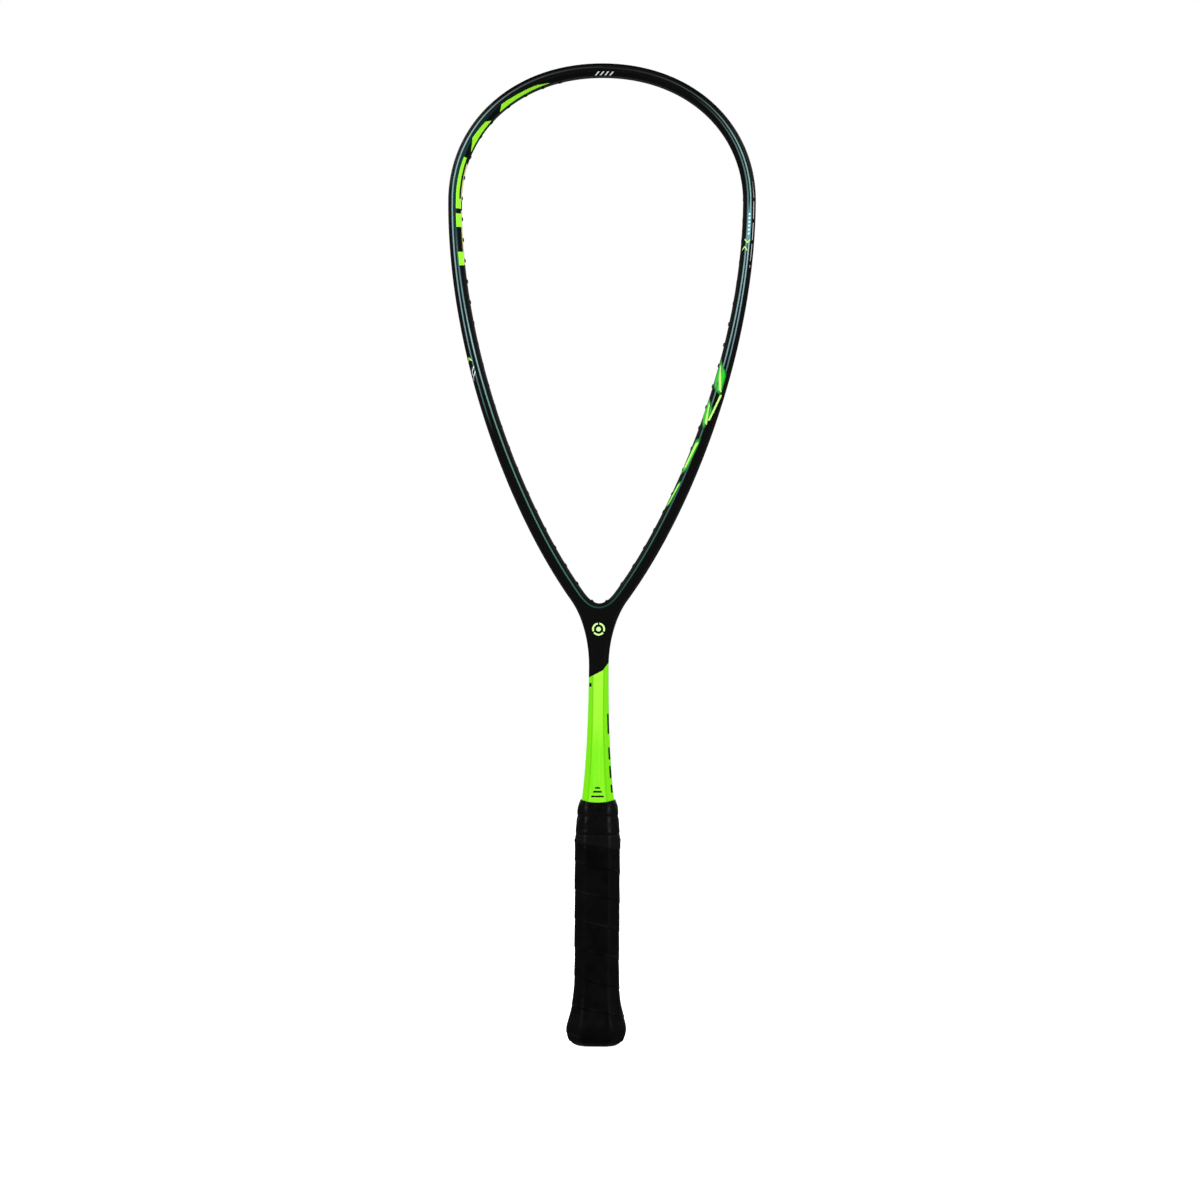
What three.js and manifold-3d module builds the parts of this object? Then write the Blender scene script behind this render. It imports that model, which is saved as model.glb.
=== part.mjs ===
// An unstrung squash racket: a hollow carbon moulding (hoop, throat and shaft in one), the nylon
// bumper and grommets that line its string holes, and the handle built on the shaft.
// Millimetres. +Z runs from the butt to the crown, the face looks along -Y, and the origin is the
// centre of the butt's flat end. Outlines are drawn for the right half (x >= 0) and mirrored.
import * as THREE from 'three';
import { mergeVertices } from 'three/addons/utils/BufferGeometryUtils.js';
import Module from 'manifold-3d';

const wasm = await Module();
wasm.setup();

// Driving dimensions of the frame
const LENGTH = 686;
const HALF_WIDTH = 107.5;
const WIDEST_Z = 590;
const LEG_END = [19.6, 311];
const OPENING_BOTTOM_Z = 309;
const NECK_HALF_WIDTH = 6.7;
const NECK_Z = 262;
const HANDLE_TOP_Z = 168;
const SHAFT_END_Z = 3.4;
const WALL = 1.2;
const GAP = 0.3;
const AXIS_SNAP = 0.01;

// The tube's section: its width in the plane of the hoop, its half depth, and its bevels
const HOOP_WIDTH = 9;
const LEG_WIDTH = 10.3;
const HOOP_HALF_DEPTH = 9.5;
const SHAFT_HALF_DEPTH = 9.9;
const BEVEL_DROP = 3.5;
const INNER_BEVEL = 2.7;
const HOOP_OUTER_BEVEL = 2.4;
const LEG_OUTER_BEVEL = 1.6;
const NECK_BEVEL = 2.8;
const HANDLE_BEVEL = 4.6;
const THROAT_SPLIT = 0.42;

// Strings pass through nylon barrels, which stand on a bumper or strip let into the outer wall
const GROOVE_DEPTH = 1.6;
const GROOVE_HALF = 2.8;
const STRIP_THICKNESS = 1;
const STRIP_HALF = 2.4;
const BUMPER_END_S = 1.147;
const STRIP_START_S = 1.1666;
const STRIP_END_S = 1.875;
const BARREL_R = 1.6;
const BORE_R = 0.85;
const HOLE_R = 2;
const BARREL_PROUD = 1.2;
const BARREL_SIDES = 6;
const MAIN_PITCH = 12;
const MAINS_PER_SIDE = 7;
const CROSS_TOP_Z = 635.2;
const CROSS_PITCH = 14.5;
const CROSSES = 17;
const LEG_HOLE_TOP_Z = 386;
const LEG_HOLE_PITCH = 12.6;
const SINGLE_GROMMETS = 3;

// The handle is a set of octagons, each given by its offset from the octagon of the shaft end
const SHAFT_OCTAGON = { halfWidth: 11.6, halfDepth: SHAFT_HALF_DEPTH, cut: HANDLE_BEVEL };
const PALLET_INSIDE = 0.3;
const PALLET_OUTSIDE = 2;
const PALLET_TOP_Z = 157;
const OVER_PALLET = PALLET_OUTSIDE + GAP;
const PLUG_OFFSET = -3.5;

const v2 = (x, z) => new THREE.Vector2(x, z);
const mix = THREE.MathUtils.lerp;
const ease = (t) => THREE.MathUtils.smoothstep(t, 0, 1);

// ---------------------------------------------------------------- solids

function toSolid(geometry) {
  const bare = geometry.clone();
  bare.deleteAttribute('normal');
  bare.deleteAttribute('uv');
  const merged = mergeVertices(bare, 1e-4);
  const vertProperties = new Float32Array(merged.attributes.position.array);
  const triVerts = new Uint32Array(merged.index.array);
  if (signedVolume(vertProperties, triVerts) < 0) {
    for (let i = 0; i < triVerts.length; i += 3) {
      [triVerts[i], triVerts[i + 1]] = [triVerts[i + 1], triVerts[i]];
    }
  }
  return new wasm.Manifold(new wasm.Mesh({ numProp: 3, vertProperties, triVerts }));
}

function signedVolume(points, triangles) {
  const corner = (i) => new THREE.Vector3().fromArray(points, triangles[i] * 3);
  let sum = 0;
  for (let i = 0; i < triangles.length; i += 3) {
    sum += corner(i).dot(corner(i + 1).cross(corner(i + 2)));
  }
  return sum / 6;
}

function toGeometry(solid) {
  const { vertProperties, triVerts } = solid.getMesh();
  const geometry = new THREE.BufferGeometry();
  geometry.setAttribute('position', new THREE.BufferAttribute(vertProperties, 3));
  geometry.setIndex(new THREE.BufferAttribute(triVerts, 1));
  geometry.computeVertexNormals();
  return geometry;
}

function trianglesToSolid(corners) {
  const geometry = new THREE.BufferGeometry().setFromPoints(corners);
  return toSolid(geometry);
}

// A closed solid through a row of rings, each a loop of the same number of points.
function loft(rings) {
  const corners = [];
  const count = rings[0].length;
  for (let k = 0; k + 1 < rings.length; k++) {
    for (let j = 0; j < count; j++) {
      const next = (j + 1) % count;
      corners.push(rings[k][j], rings[k][next], rings[k + 1][next]);
      corners.push(rings[k][j], rings[k + 1][next], rings[k + 1][j]);
    }
  }
  const last = rings[rings.length - 1];
  for (let j = 1; j + 1 < count; j++) {
    corners.push(rings[0][0], rings[0][j + 1], rings[0][j]);
    corners.push(last[0], last[j], last[j + 1]);
  }
  return trianglesToSolid(corners);
}

function unite(solids) {
  return solids.reduce((whole, solid) => whole.add(solid));
}

function rod(from, to, radius) {
  const start = new THREE.Vector3(from.x, 0, from.y);
  const end = new THREE.Vector3(to.x, 0, to.y);
  const along = end.clone().sub(start);
  const geometry = new THREE.CylinderGeometry(radius, radius, along.length(), BARREL_SIDES);
  const turn = new THREE.Quaternion().setFromUnitVectors(
    new THREE.Vector3(0, 1, 0),
    along.normalize(),
  );
  geometry.applyQuaternion(turn);
  const middle = start.add(end).multiplyScalar(0.5);
  geometry.translate(middle.x, middle.y, middle.z);
  return toSolid(geometry);
}

function box(width, depth, height, x, y, z) {
  const geometry = new THREE.BoxGeometry(width, depth, height);
  geometry.translate(x, y, z);
  return toSolid(geometry);
}

// ---------------------------------------------------------------- the frame's outlines

const curve = (...points) => new THREE.CubicBezierCurve(...points.map(([x, z]) => v2(x, z)));
const crownCurve = curve([0, LENGTH], [64, LENGTH], [HALF_WIDTH, 643.5], [HALF_WIDTH, WIDEST_Z]);
const legCurve = curve([HALF_WIDTH, WIDEST_Z], [HALF_WIDTH, 485], [64, 372.5], LEG_END);
const throatCurve = curve(LEG_END, [13.5, 302.5], [6.2, 286], [NECK_HALF_WIDTH, NECK_Z]);
const shaftCurve = curve(
  [NECK_HALF_WIDTH, NECK_Z],
  [6.9, 222],
  [8.6, 190],
  [SHAFT_OCTAGON.halfWidth, HANDLE_TOP_Z],
);

const inwards = (tangent) => v2(tangent.y, -tangent.x);

// The tube's width along the hoop: s runs 0 at the crown, 1 at the widest point, 2 where the legs end.
function tubeWidth(s) {
  return mix(HOOP_WIDTH, LEG_WIDTH, ease((s - 1) * 1.25));
}

const legInside = (() => {
  const end = legCurve.getPoint(1);
  return end.addScaledVector(inwards(legCurve.getTangent(1)), tubeWidth(2));
})();
const innerThroatCurve = curve(
  [legInside.x, legInside.y],
  [8.3, 313],
  [4.5, OPENING_BOTTOM_Z],
  [0, OPENING_BOTTOM_Z],
);

// One station of the half frame. s runs on past 2: the opening's bottom is at 3, the neck at 4,
// the top of the handle at 5 and the shaft's end at 6. Below 3 the section closes on the axis.
function station(s) {
  const band = Math.min(Math.floor(s), 5);
  const t = s - band;
  const halfDepth = mix(HOOP_HALF_DEPTH, SHAFT_HALF_DEPTH, ease(s - 1));
  const place = { s, halfDepth };
  if (band < 2) {
    const path = band === 0 ? crownCurve : legCurve;
    place.outer = path.getPoint(t);
    place.outerIn = inwards(path.getTangent(t));
    place.inner = place.outer.clone().addScaledVector(place.outerIn, tubeWidth(s));
    place.innerIn = place.outerIn.clone().negate();
    place.bevel = mix(HOOP_OUTER_BEVEL, LEG_OUTER_BEVEL, ease((s - 1) * 1.5));
  } else if (band === 2 || s === 3) {
    const u = s - 2;
    const tangent = innerThroatCurve.getTangent(u);
    place.outer = throatCurve.getPoint(u * THROAT_SPLIT);
    place.outerIn = inwards(throatCurve.getTangent(u * THROAT_SPLIT));
    place.inner = innerThroatCurve.getPoint(u);
    place.innerIn = u === 1 ? v2(0, -1) : v2(-tangent.y, tangent.x);
    place.bevel = mix(LEG_OUTER_BEVEL, NECK_BEVEL, u * THROAT_SPLIT);
  } else if (band === 3) {
    const u = mix(THROAT_SPLIT, 1, t);
    place.outer = throatCurve.getPoint(u);
    place.outerIn = inwards(throatCurve.getTangent(u));
    place.axisZ = mix(OPENING_BOTTOM_Z - INNER_BEVEL, NECK_Z, t);
    place.bevel = mix(LEG_OUTER_BEVEL, NECK_BEVEL, u);
  } else if (band === 4) {
    place.outer = shaftCurve.getPoint(t);
    place.outerIn = v2(-1, 0);
    place.axisZ = place.outer.y;
    place.bevel = mix(NECK_BEVEL, HANDLE_BEVEL, t);
  } else {
    place.outer = v2(SHAFT_OCTAGON.halfWidth, mix(HANDLE_TOP_Z, SHAFT_END_Z, t));
    place.outerIn = v2(-1, 0);
    place.axisZ = place.outer.y;
    place.bevel = HANDLE_BEVEL;
  }
  return place;
}

const spaced = (from, to, steps) =>
  Array.from({ length: steps }, (_, i) => from + ((to - from) * i) / steps);
const STATION_S = [
  ...spaced(0, 1, 16),
  ...spaced(1, 2, 24),
  BUMPER_END_S,
  ...spaced(2, 3, 5),
  ...spaced(3, 4, 4),
  ...spaced(4, 5, 6),
  5,
  6,
].sort((a, b) => a - b);

// A point of the section: `depth` into the material from the outer or inner edge, at height v.
function fromOuter(place, depth, v) {
  const p = place.outer.clone().addScaledVector(place.outerIn, depth);
  return new THREE.Vector3(p.x, -v, p.y);
}

function fromInner(place, depth, v) {
  const p = place.inner.clone().addScaledVector(place.innerIn, depth);
  return new THREE.Vector3(p.x, -v, p.y);
}

// ---------------------------------------------------------------- the frame

// Front half of the outside section, from the outer wall over the face to the inner wall.
function outsideProfile(place) {
  const { s, halfDepth, bevel } = place;
  const shoulder = halfDepth - (s < 3 ? BEVEL_DROP : bevel);
  const front = [];
  if (s <= BUMPER_END_S) {
    const seatHalf = shoulder + (BEVEL_DROP * GROOVE_DEPTH) / bevel;
    front.push(fromOuter(place, GROOVE_DEPTH, GROOVE_HALF), fromOuter(place, GROOVE_DEPTH, 5));
    front.push(fromOuter(place, GROOVE_DEPTH, seatHalf));
  } else {
    const floor = s <= 3 ? GROOVE_DEPTH : 0;
    const floorHalf = s <= 3 ? GROOVE_HALF : GROOVE_HALF / 2;
    front.push(fromOuter(place, floor, floorHalf), fromOuter(place, 0, GROOVE_HALF));
    front.push(fromOuter(place, 0, shoulder));
  }
  front.push(fromOuter(place, bevel, halfDepth));
  if (place.inner) {
    front.push(fromInner(place, INNER_BEVEL, halfDepth), fromInner(place, 0, halfDepth - BEVEL_DROP));
  } else {
    front.push(new THREE.Vector3(0, -halfDepth, place.axisZ));
  }
  return front;
}

// Front half of the hollow inside the tube, and of the bore that runs down the shaft.
function hollowProfile(place) {
  const { s, halfDepth, bevel } = place;
  const floor = s <= 3 ? GROOVE_DEPTH + WALL : WALL;
  const v = halfDepth - WALL;
  const front = [fromOuter(place, floor, v - BEVEL_DROP), fromOuter(place, bevel + WALL, v)];
  if (place.inner) {
    front.push(fromInner(place, INNER_BEVEL, v), fromInner(place, WALL, v - BEVEL_DROP));
  } else {
    front.push(new THREE.Vector3(0, -v, place.axisZ));
  }
  if (s === 6) front.forEach((point) => (point.z -= 1));
  return front;
}

// Skins the right half between stations, closes the shaft's end, and mirrors it to the left.
function frameBody(profile) {
  const rows = STATION_S.map((s) => profile(station(s)));
  for (const point of rows.flat()) {
    if (Math.abs(point.x) < AXIS_SNAP) point.x = 0;
  }
  const corners = [];
  const back = (p) => new THREE.Vector3(p.x, -p.y, p.z);
  const quad = (a, b, c, d) => corners.push(a, b, c, a, c, d);
  for (let k = 0; k + 1 < rows.length; k++) {
    const [upper, lower] = [rows[k], rows[k + 1]];
    const columns = Math.min(upper.length, lower.length);
    for (let j = 0; j + 1 < columns; j++) {
      quad(upper[j], lower[j], lower[j + 1], upper[j + 1]);
      quad(back(upper[j + 1]), back(lower[j + 1]), back(lower[j]), back(upper[j]));
    }
    quad(back(upper[0]), back(lower[0]), lower[0], upper[0]);
    if (columns === rows[0].length) {
      const [top, bottom] = [upper[columns - 1], lower[columns - 1]];
      quad(top, bottom, back(bottom), back(top));
    }
  }
  const end = rows[rows.length - 1];
  const rim = [...end, ...end.map(back).reverse()];
  for (let j = 1; j + 1 < rim.length; j++) {
    corners.push(rim[0], rim[j + 1], rim[j]);
  }
  const flip = (p) => new THREE.Vector3(-p.x, p.y, p.z);
  const mirrored = [];
  for (let i = 0; i < corners.length; i += 3) {
    mirrored.push(flip(corners[i]), flip(corners[i + 2]), flip(corners[i + 1]));
  }
  return trianglesToSolid([...corners, ...mirrored]);
}

// Where the string holes are, as values of s down the right half.
function stringPlaces() {
  const find = (from, to, past) => {
    let [low, high] = [from, to];
    for (let i = 0; i < 30; i++) {
      const middle = (low + high) / 2;
      if (past(station(middle))) high = middle;
      else low = middle;
    }
    return low;
  };
  const places = [];
  for (let i = 0; i < MAINS_PER_SIDE; i++) {
    const x = MAIN_PITCH * (i + 0.5);
    places.push(find(0, 1, (at) => at.inner.x > x));
  }
  for (let i = 0; i < CROSSES; i++) {
    const z = CROSS_TOP_Z - CROSS_PITCH * i;
    places.push(find(0.3, 2, (at) => at.inner.y < z));
  }
  for (let i = 0; i < MAINS_PER_SIDE; i++) {
    const z = LEG_HOLE_TOP_Z - LEG_HOLE_PITCH * i;
    places.push(find(1.5, 2.9, (at) => at.inner.y < z));
  }
  return places;
}

// A rod across the tube at s, from `start` past the outer edge to `proud` beyond the inner one.
function acrossTube(s, start, proud, radius, side) {
  const { outer, inner } = station(s);
  return tubeRod(s, start, outer.distanceTo(inner) + proud, radius, side);
}

// The same rod, with both of its ends measured from the outer edge.
function tubeRod(s, start, end, radius, side) {
  const { outer, inner } = station(s);
  const along = inner.clone().sub(outer).normalize();
  const from = outer.clone().addScaledVector(along, start);
  const to = outer.clone().addScaledVector(along, end);
  from.x *= side;
  to.x *= side;
  return rod(from, to, radius);
}

const SIDES = [-1, 1];
const HOLES = stringPlaces();
const SINGLE_HOLES = HOLES.slice(-SINGLE_GROMMETS);

function frame() {
  const webTop = 285;
  const webBottom = 45;
  const web = box(1, 40, webTop - webBottom, 0, 0, (webTop + webBottom) / 2);
  const hollow = frameBody(hollowProfile).subtract(web);
  const holes = SIDES.flatMap((side) => HOLES.map((s) => acrossTube(s, -2, 2, HOLE_R, side)));
  const seats = SIDES.flatMap((side) => SINGLE_HOLES.map((s) => {
    return tubeRod(s, -2, GROOVE_DEPTH, STRIP_HALF + GAP, side);
  }));
  return frameBody(outsideProfile).subtract(hollow).subtract(unite([...holes, ...seats]));
}

// Foam wedge that fills the fork of the throat, between the two legs' hollows.
function throatFoamCore() {
  const shape = new THREE.Shape([v2(-1.2, 288), v2(1.2, 288), v2(4.6, 302), v2(-4.6, 302)]);
  const thickness = 15;
  const geometry = new THREE.ExtrudeGeometry(shape, { depth: thickness, bevelEnabled: false });
  geometry.translate(0, 0, -thickness / 2);
  geometry.rotateX(Math.PI / 2);
  return toSolid(geometry);
}

// ---------------------------------------------------------------- bumper and grommets

function withBarrels(base, sites) {
  const barrels = sites.map(([s, side]) => {
    return acrossTube(s, GROOVE_DEPTH / 2, BARREL_PROUD, BARREL_R, side);
  });
  const bores = sites.map(([s, side]) => acrossTube(s, -1, BARREL_PROUD + 1, BORE_R, side));
  return unite([base, ...barrels]).subtract(unite(bores));
}

function stripRing(s, side, depths, halves) {
  const place = station(s);
  const ring = [
    fromOuter(place, depths[0], halves[0]),
    fromOuter(place, depths[0], -halves[0]),
    fromOuter(place, depths[1], -halves[1]),
    fromOuter(place, depths[1], halves[1]),
  ];
  ring.forEach((point) => (point.x *= side));
  return ring;
}

// The bumper caps the outer edge over the crown, flush with the bevels of the tube.
function bumperGuard() {
  const outerHalf = HOOP_HALF_DEPTH - BEVEL_DROP;
  const depth = GROOVE_DEPTH - GAP;
  const innerHalf = outerHalf + (BEVEL_DROP * depth) / HOOP_OUTER_BEVEL;
  const run = STATION_S.filter((s) => s <= BUMPER_END_S);
  const ring = (s, side) => stripRing(s, side, [0, depth], [outerHalf, innerHalf]);
  const left = run.slice(1).reverse().map((s) => ring(s, -1));
  const base = loft([...left, ...run.map((s) => ring(s, 1))]);
  const sites = HOLES.filter((s) => s < BUMPER_END_S);
  return withBarrels(base, SIDES.flatMap((side) => sites.map((s) => [s, side])));
}

// A side strip lies in the groove of the outer wall and carries its own barrels.
function grommetStrip(side) {
  const run = STATION_S.filter((s) => s > STRIP_START_S - 1e-3 && s <= STRIP_END_S);
  const depths = [GROOVE_DEPTH - GAP - STRIP_THICKNESS, GROOVE_DEPTH - GAP];
  const base = loft(run.map((s) => stripRing(s, side, depths, [STRIP_HALF, STRIP_HALF])));
  const sites = HOLES.filter((s) => s > run[0] && s < run[run.length - 1]);
  return withBarrels(base, sites.map((s) => [s, side]));
}

// The last holes above the throat have a flanged grommet each.
function singleGrommet(s, side) {
  const flange = tubeRod(s, GAP, GROOVE_DEPTH - GAP, STRIP_HALF, side);
  return withBarrels(flange, [[s, side]]);
}

// ---------------------------------------------------------------- the handle

// The octagon of the shaft end, grown or shrunk by `offset` all round, at height z.
function octagon(offset, z) {
  const a = SHAFT_OCTAGON.halfWidth + offset;
  const b = SHAFT_OCTAGON.halfDepth + offset;
  const cut = SHAFT_OCTAGON.cut + (2 - Math.SQRT2) * offset;
  const quarter = [
    [a, b - cut],
    [a - cut, b],
  ];
  const turned = [
    ...quarter,
    ...quarter.map(([x, y]) => [-x, y]).reverse(),
    ...quarter.map(([x, y]) => [-x, -y]),
    ...quarter.map(([x, y]) => [x, -y]).reverse(),
  ];
  return turned.map(([x, y]) => new THREE.Vector3(x, y, z));
}

// A solid turned from [height, offset] pairs, bottom to top.
function octagonal(levels) {
  return loft(levels.map(([z, offset]) => octagon(offset, z)));
}

// The butt cap's outside: a low dome, the flare that stops the hand, and a lip on the pallets.
const CAP_OUTSIDE = [
  [0, 0.4],
  [1, 3.2],
  [2.4, 5.4],
  [4, 6.4],
  [7, 7.1],
  [12, 7.3],
  [18, 6.2],
  [25, 4.3],
  [34, 3.3],
];
const CAP_FLOOR_Z = 3;
const PLUG_THICKNESS = 1.6;

// The wire staples that hold the cap's lip to the pallets, one on each broad side.
const STAPLE = { z: 29, halfSpan: 4, wire: 0.8, leg: 2.8, faceY: SHAFT_HALF_DEPTH + 3.4 };

function staple(side, grow) {
  const { z, halfSpan, wire, leg, faceY } = STAPLE;
  const thick = wire + 2 * grow;
  const crown = box(2 * halfSpan + thick, thick, thick, 0, side * faceY, z);
  const legY = side * (faceY - leg / 2);
  const legs = SIDES.map((x) => box(thick, leg + 2 * grow, thick, x * halfSpan, legY, z));
  return unite([crown, ...legs]);
}

const stapleSlots = () => unite(SIDES.map((side) => staple(side, GAP)));

function palletHalf(side) {
  const outside = octagonal([
    [SHAFT_END_Z, PALLET_OUTSIDE],
    [PALLET_TOP_Z - 3, PALLET_OUTSIDE],
    [PALLET_TOP_Z, PALLET_INSIDE + 0.8],
  ]);
  const inside = octagonal([
    [SHAFT_END_Z - 1, PALLET_INSIDE],
    [PALLET_TOP_Z + 1, PALLET_INSIDE],
  ]);
  const keep = box(60, 30, 400, 0, side * (15 + GAP / 2), 100);
  return outside.subtract(inside).intersect(keep).subtract(stapleSlots());
}

function buttCap() {
  const pocket = octagonal([
    [CAP_FLOOR_Z, OVER_PALLET],
    [40, OVER_PALLET],
  ]);
  const recess = octagonal([
    [-1, PLUG_OFFSET + GAP],
    [PLUG_THICKNESS + GAP, PLUG_OFFSET + GAP],
  ]);
  const keyhole = octagonal([
    [0, PLUG_OFFSET - 2],
    [CAP_FLOOR_Z + 1, PLUG_OFFSET - 2],
  ]);
  const cap = octagonal(CAP_OUTSIDE).subtract(pocket).subtract(recess).subtract(keyhole);
  return cap.subtract(stapleSlots());
}

function buttPlug() {
  return octagonal([
    [0, PLUG_OFFSET],
    [PLUG_THICKNESS, PLUG_OFFSET],
  ]);
}

function shaftEndPlug() {
  return octagonal([
    [4.4, -1.7],
    [10, -1.7],
  ]);
}

function balanceWeight() {
  return octagonal([
    [13, -2.6],
    [14, -2],
    [37, -2],
    [38, -2.6],
  ]);
}

// The wrap grows over the cap's flare at its foot and is skived thin at its upper end.
function gripWrap() {
  const overCap = CAP_OUTSIDE.slice(3).map(([z, offset]) => [z, offset + GAP]);
  const inside = octagonal([[2.2, 6.1], ...overCap, [35, OVER_PALLET], [146, OVER_PALLET]]);
  const outside = octagonal([
    [3.2, 6.7],
    [4.4, 7.6],
    [7.5, 8.8],
    [12, 9.3],
    [18, 8.2],
    [25, 6.2],
    [34, 4.8],
    [42, 4.1],
    [137, 4.2],
    [145, 2.9],
  ]);
  return outside.subtract(inside);
}

function finishingTape() {
  const inside = octagonal([
    [138, 4.36],
    [145.2, 3.2],
    [146.5, OVER_PALLET],
    [153, OVER_PALLET],
  ]);
  const outside = octagonal([
    [139.5, 4.5],
    [145.2, 3.65],
    [147, 2.75],
    [152, 2.75],
  ]);
  return outside.subtract(inside);
}

// The rubber collar hides the tape and closes the handle on the bare shaft with a thin lip.
function gripCollar() {
  const inside = octagonal([
    [147, 3.05],
    [153, 3.05],
    [157.6, 2.3],
    [160.5, 0.7],
    [173, 0.3],
  ]);
  const outside = octagonal([
    [148, 3.9],
    [150, 4.1],
    [158, 3.4],
    [165, 2.4],
    [169, 1.7],
    [172, 1.2],
  ]);
  return outside.subtract(inside);
}

// ---------------------------------------------------------------- materials

const finish = (color, roughness, metalness = 0) =>
  new THREE.MeshStandardMaterial({ color, roughness, metalness });
const carbonBlack = () => finish(0x141616, 0.3);
const blackNylon = () => finish(0x1a1a1a, 0.55);
const handleFoam = () => finish(0x8f8a74, 0.85);
const whiteFoam = () => finish(0xd9d6cc, 0.9);
const blackPlastic = () => finish(0x121212, 0.5);
const gripSkin = () => finish(0x0e0e0e, 0.6);
const blackTape = () => finish(0x101010, 0.4);
const blackRubber = () => finish(0x0c0c0c, 0.5);
const greyRubber = () => finish(0x4a4d50, 0.8);
const steelWire = () => finish(0xb4b6b8, 0.3, 1);

// ---------------------------------------------------------------- assembly

const racket = new THREE.Group();

function place(name, solid, material) {
  const mesh = new THREE.Mesh(toGeometry(solid), material);
  mesh.name = name;
  racket.add(mesh);
}

place('frame', frame(), carbonBlack());
place('throat_foam_core', throatFoamCore(), whiteFoam());
place('bumper_guard', bumperGuard(), blackNylon());
for (const side of SIDES) {
  const hand = side < 0 ? 'left' : 'right';
  place(`grommet_strip_${hand}`, grommetStrip(side), blackNylon());
  SINGLE_HOLES.forEach((s, i) => {
    place(`throat_grommet_${hand}_${i + 1}`, singleGrommet(s, side), blackNylon());
  });
}
place('handle_pallet_front', palletHalf(-1), handleFoam());
place('handle_pallet_back', palletHalf(1), handleFoam());
place('shaft_end_plug', shaftEndPlug(), whiteFoam());
place('balance_weight', balanceWeight(), greyRubber());
place('butt_cap', buttCap(), blackPlastic());
place('butt_plug', buttPlug(), blackPlastic());
place('butt_staple_front', staple(-1, 0), steelWire());
place('butt_staple_back', staple(1, 0), steelWire());
place('grip_wrap', gripWrap(), gripSkin());
place('finishing_tape', finishingTape(), blackTape());
place('grip_collar', gripCollar(), blackRubber());

export default racket;
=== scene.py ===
import math
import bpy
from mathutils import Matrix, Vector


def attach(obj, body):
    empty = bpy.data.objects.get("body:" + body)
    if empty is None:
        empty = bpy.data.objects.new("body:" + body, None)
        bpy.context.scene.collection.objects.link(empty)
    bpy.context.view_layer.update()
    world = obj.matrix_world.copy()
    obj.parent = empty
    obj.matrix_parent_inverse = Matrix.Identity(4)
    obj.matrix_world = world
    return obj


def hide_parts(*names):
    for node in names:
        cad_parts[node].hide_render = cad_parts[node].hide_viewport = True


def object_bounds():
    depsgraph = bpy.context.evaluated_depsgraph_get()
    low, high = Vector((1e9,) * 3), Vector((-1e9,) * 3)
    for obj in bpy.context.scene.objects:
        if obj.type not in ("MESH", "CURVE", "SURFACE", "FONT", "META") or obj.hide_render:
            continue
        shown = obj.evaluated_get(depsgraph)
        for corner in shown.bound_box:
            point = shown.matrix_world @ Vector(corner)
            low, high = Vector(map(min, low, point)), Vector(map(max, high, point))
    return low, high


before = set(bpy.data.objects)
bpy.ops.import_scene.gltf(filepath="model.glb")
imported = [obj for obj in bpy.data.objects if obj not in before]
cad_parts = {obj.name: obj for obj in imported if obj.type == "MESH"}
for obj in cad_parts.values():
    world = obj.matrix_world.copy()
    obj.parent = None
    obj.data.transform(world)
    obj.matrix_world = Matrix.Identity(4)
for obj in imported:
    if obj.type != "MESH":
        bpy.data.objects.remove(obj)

from types import SimpleNamespace

import bmesh
import bpy
from mathutils import Vector, noise

cad_low, cad_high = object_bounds()

# An unstrung squash racket. Outlines are worked out in millimetres, as in the CAD, for the right
# half (x >= 0), and turned into metres when a mesh is made. +Z runs from butt to crown, and the
# face looks along -Y.
MM = 0.001
SIDES = (-1, 1)

# ---------------- small helpers


def lerp(a, b, t):
    return a + (b - a) * t


def ease(t):
    t = min(max(t, 0.0), 1.0)
    return t * t * (3 - 2 * t)


def spaced(start, end, steps):
    return [lerp(start, end, i / steps) for i in range(steps)]


def track(pairs, x):
    """Straight-line interpolation through rising (x, y) pairs."""
    for (x0, y0), (x1, y1) in zip(pairs, pairs[1:]):
        if x <= x1:
            return lerp(y0, y1, min(max((x - x0) / (x1 - x0), 0.0), 1.0))
    return pairs[-1][1]


class Bezier:
    def __init__(self, *points):
        self.points = [Vector(p) for p in points]

    def at(self, t):
        a, b, c, d = self.points
        u = 1 - t
        return a * u**3 + b * (3 * u * u * t) + c * (3 * u * t * t) + d * t**3

    def tangent(self, t):
        a, b, c, d = self.points
        u = 1 - t
        return ((b - a) * (u * u) + (c - b) * (2 * u * t) + (d - c) * (t * t)).normalized()


# ---------------- materials


def srgb(code):
    """A hex colour as linear RGBA."""
    parts = [int(code[i : i + 2], 16) / 255 for i in (0, 2, 4)]
    return tuple(p / 12.92 if p <= 0.04045 else ((p + 0.055) / 1.055) ** 2.4 for p in parts) + (1,)


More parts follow.
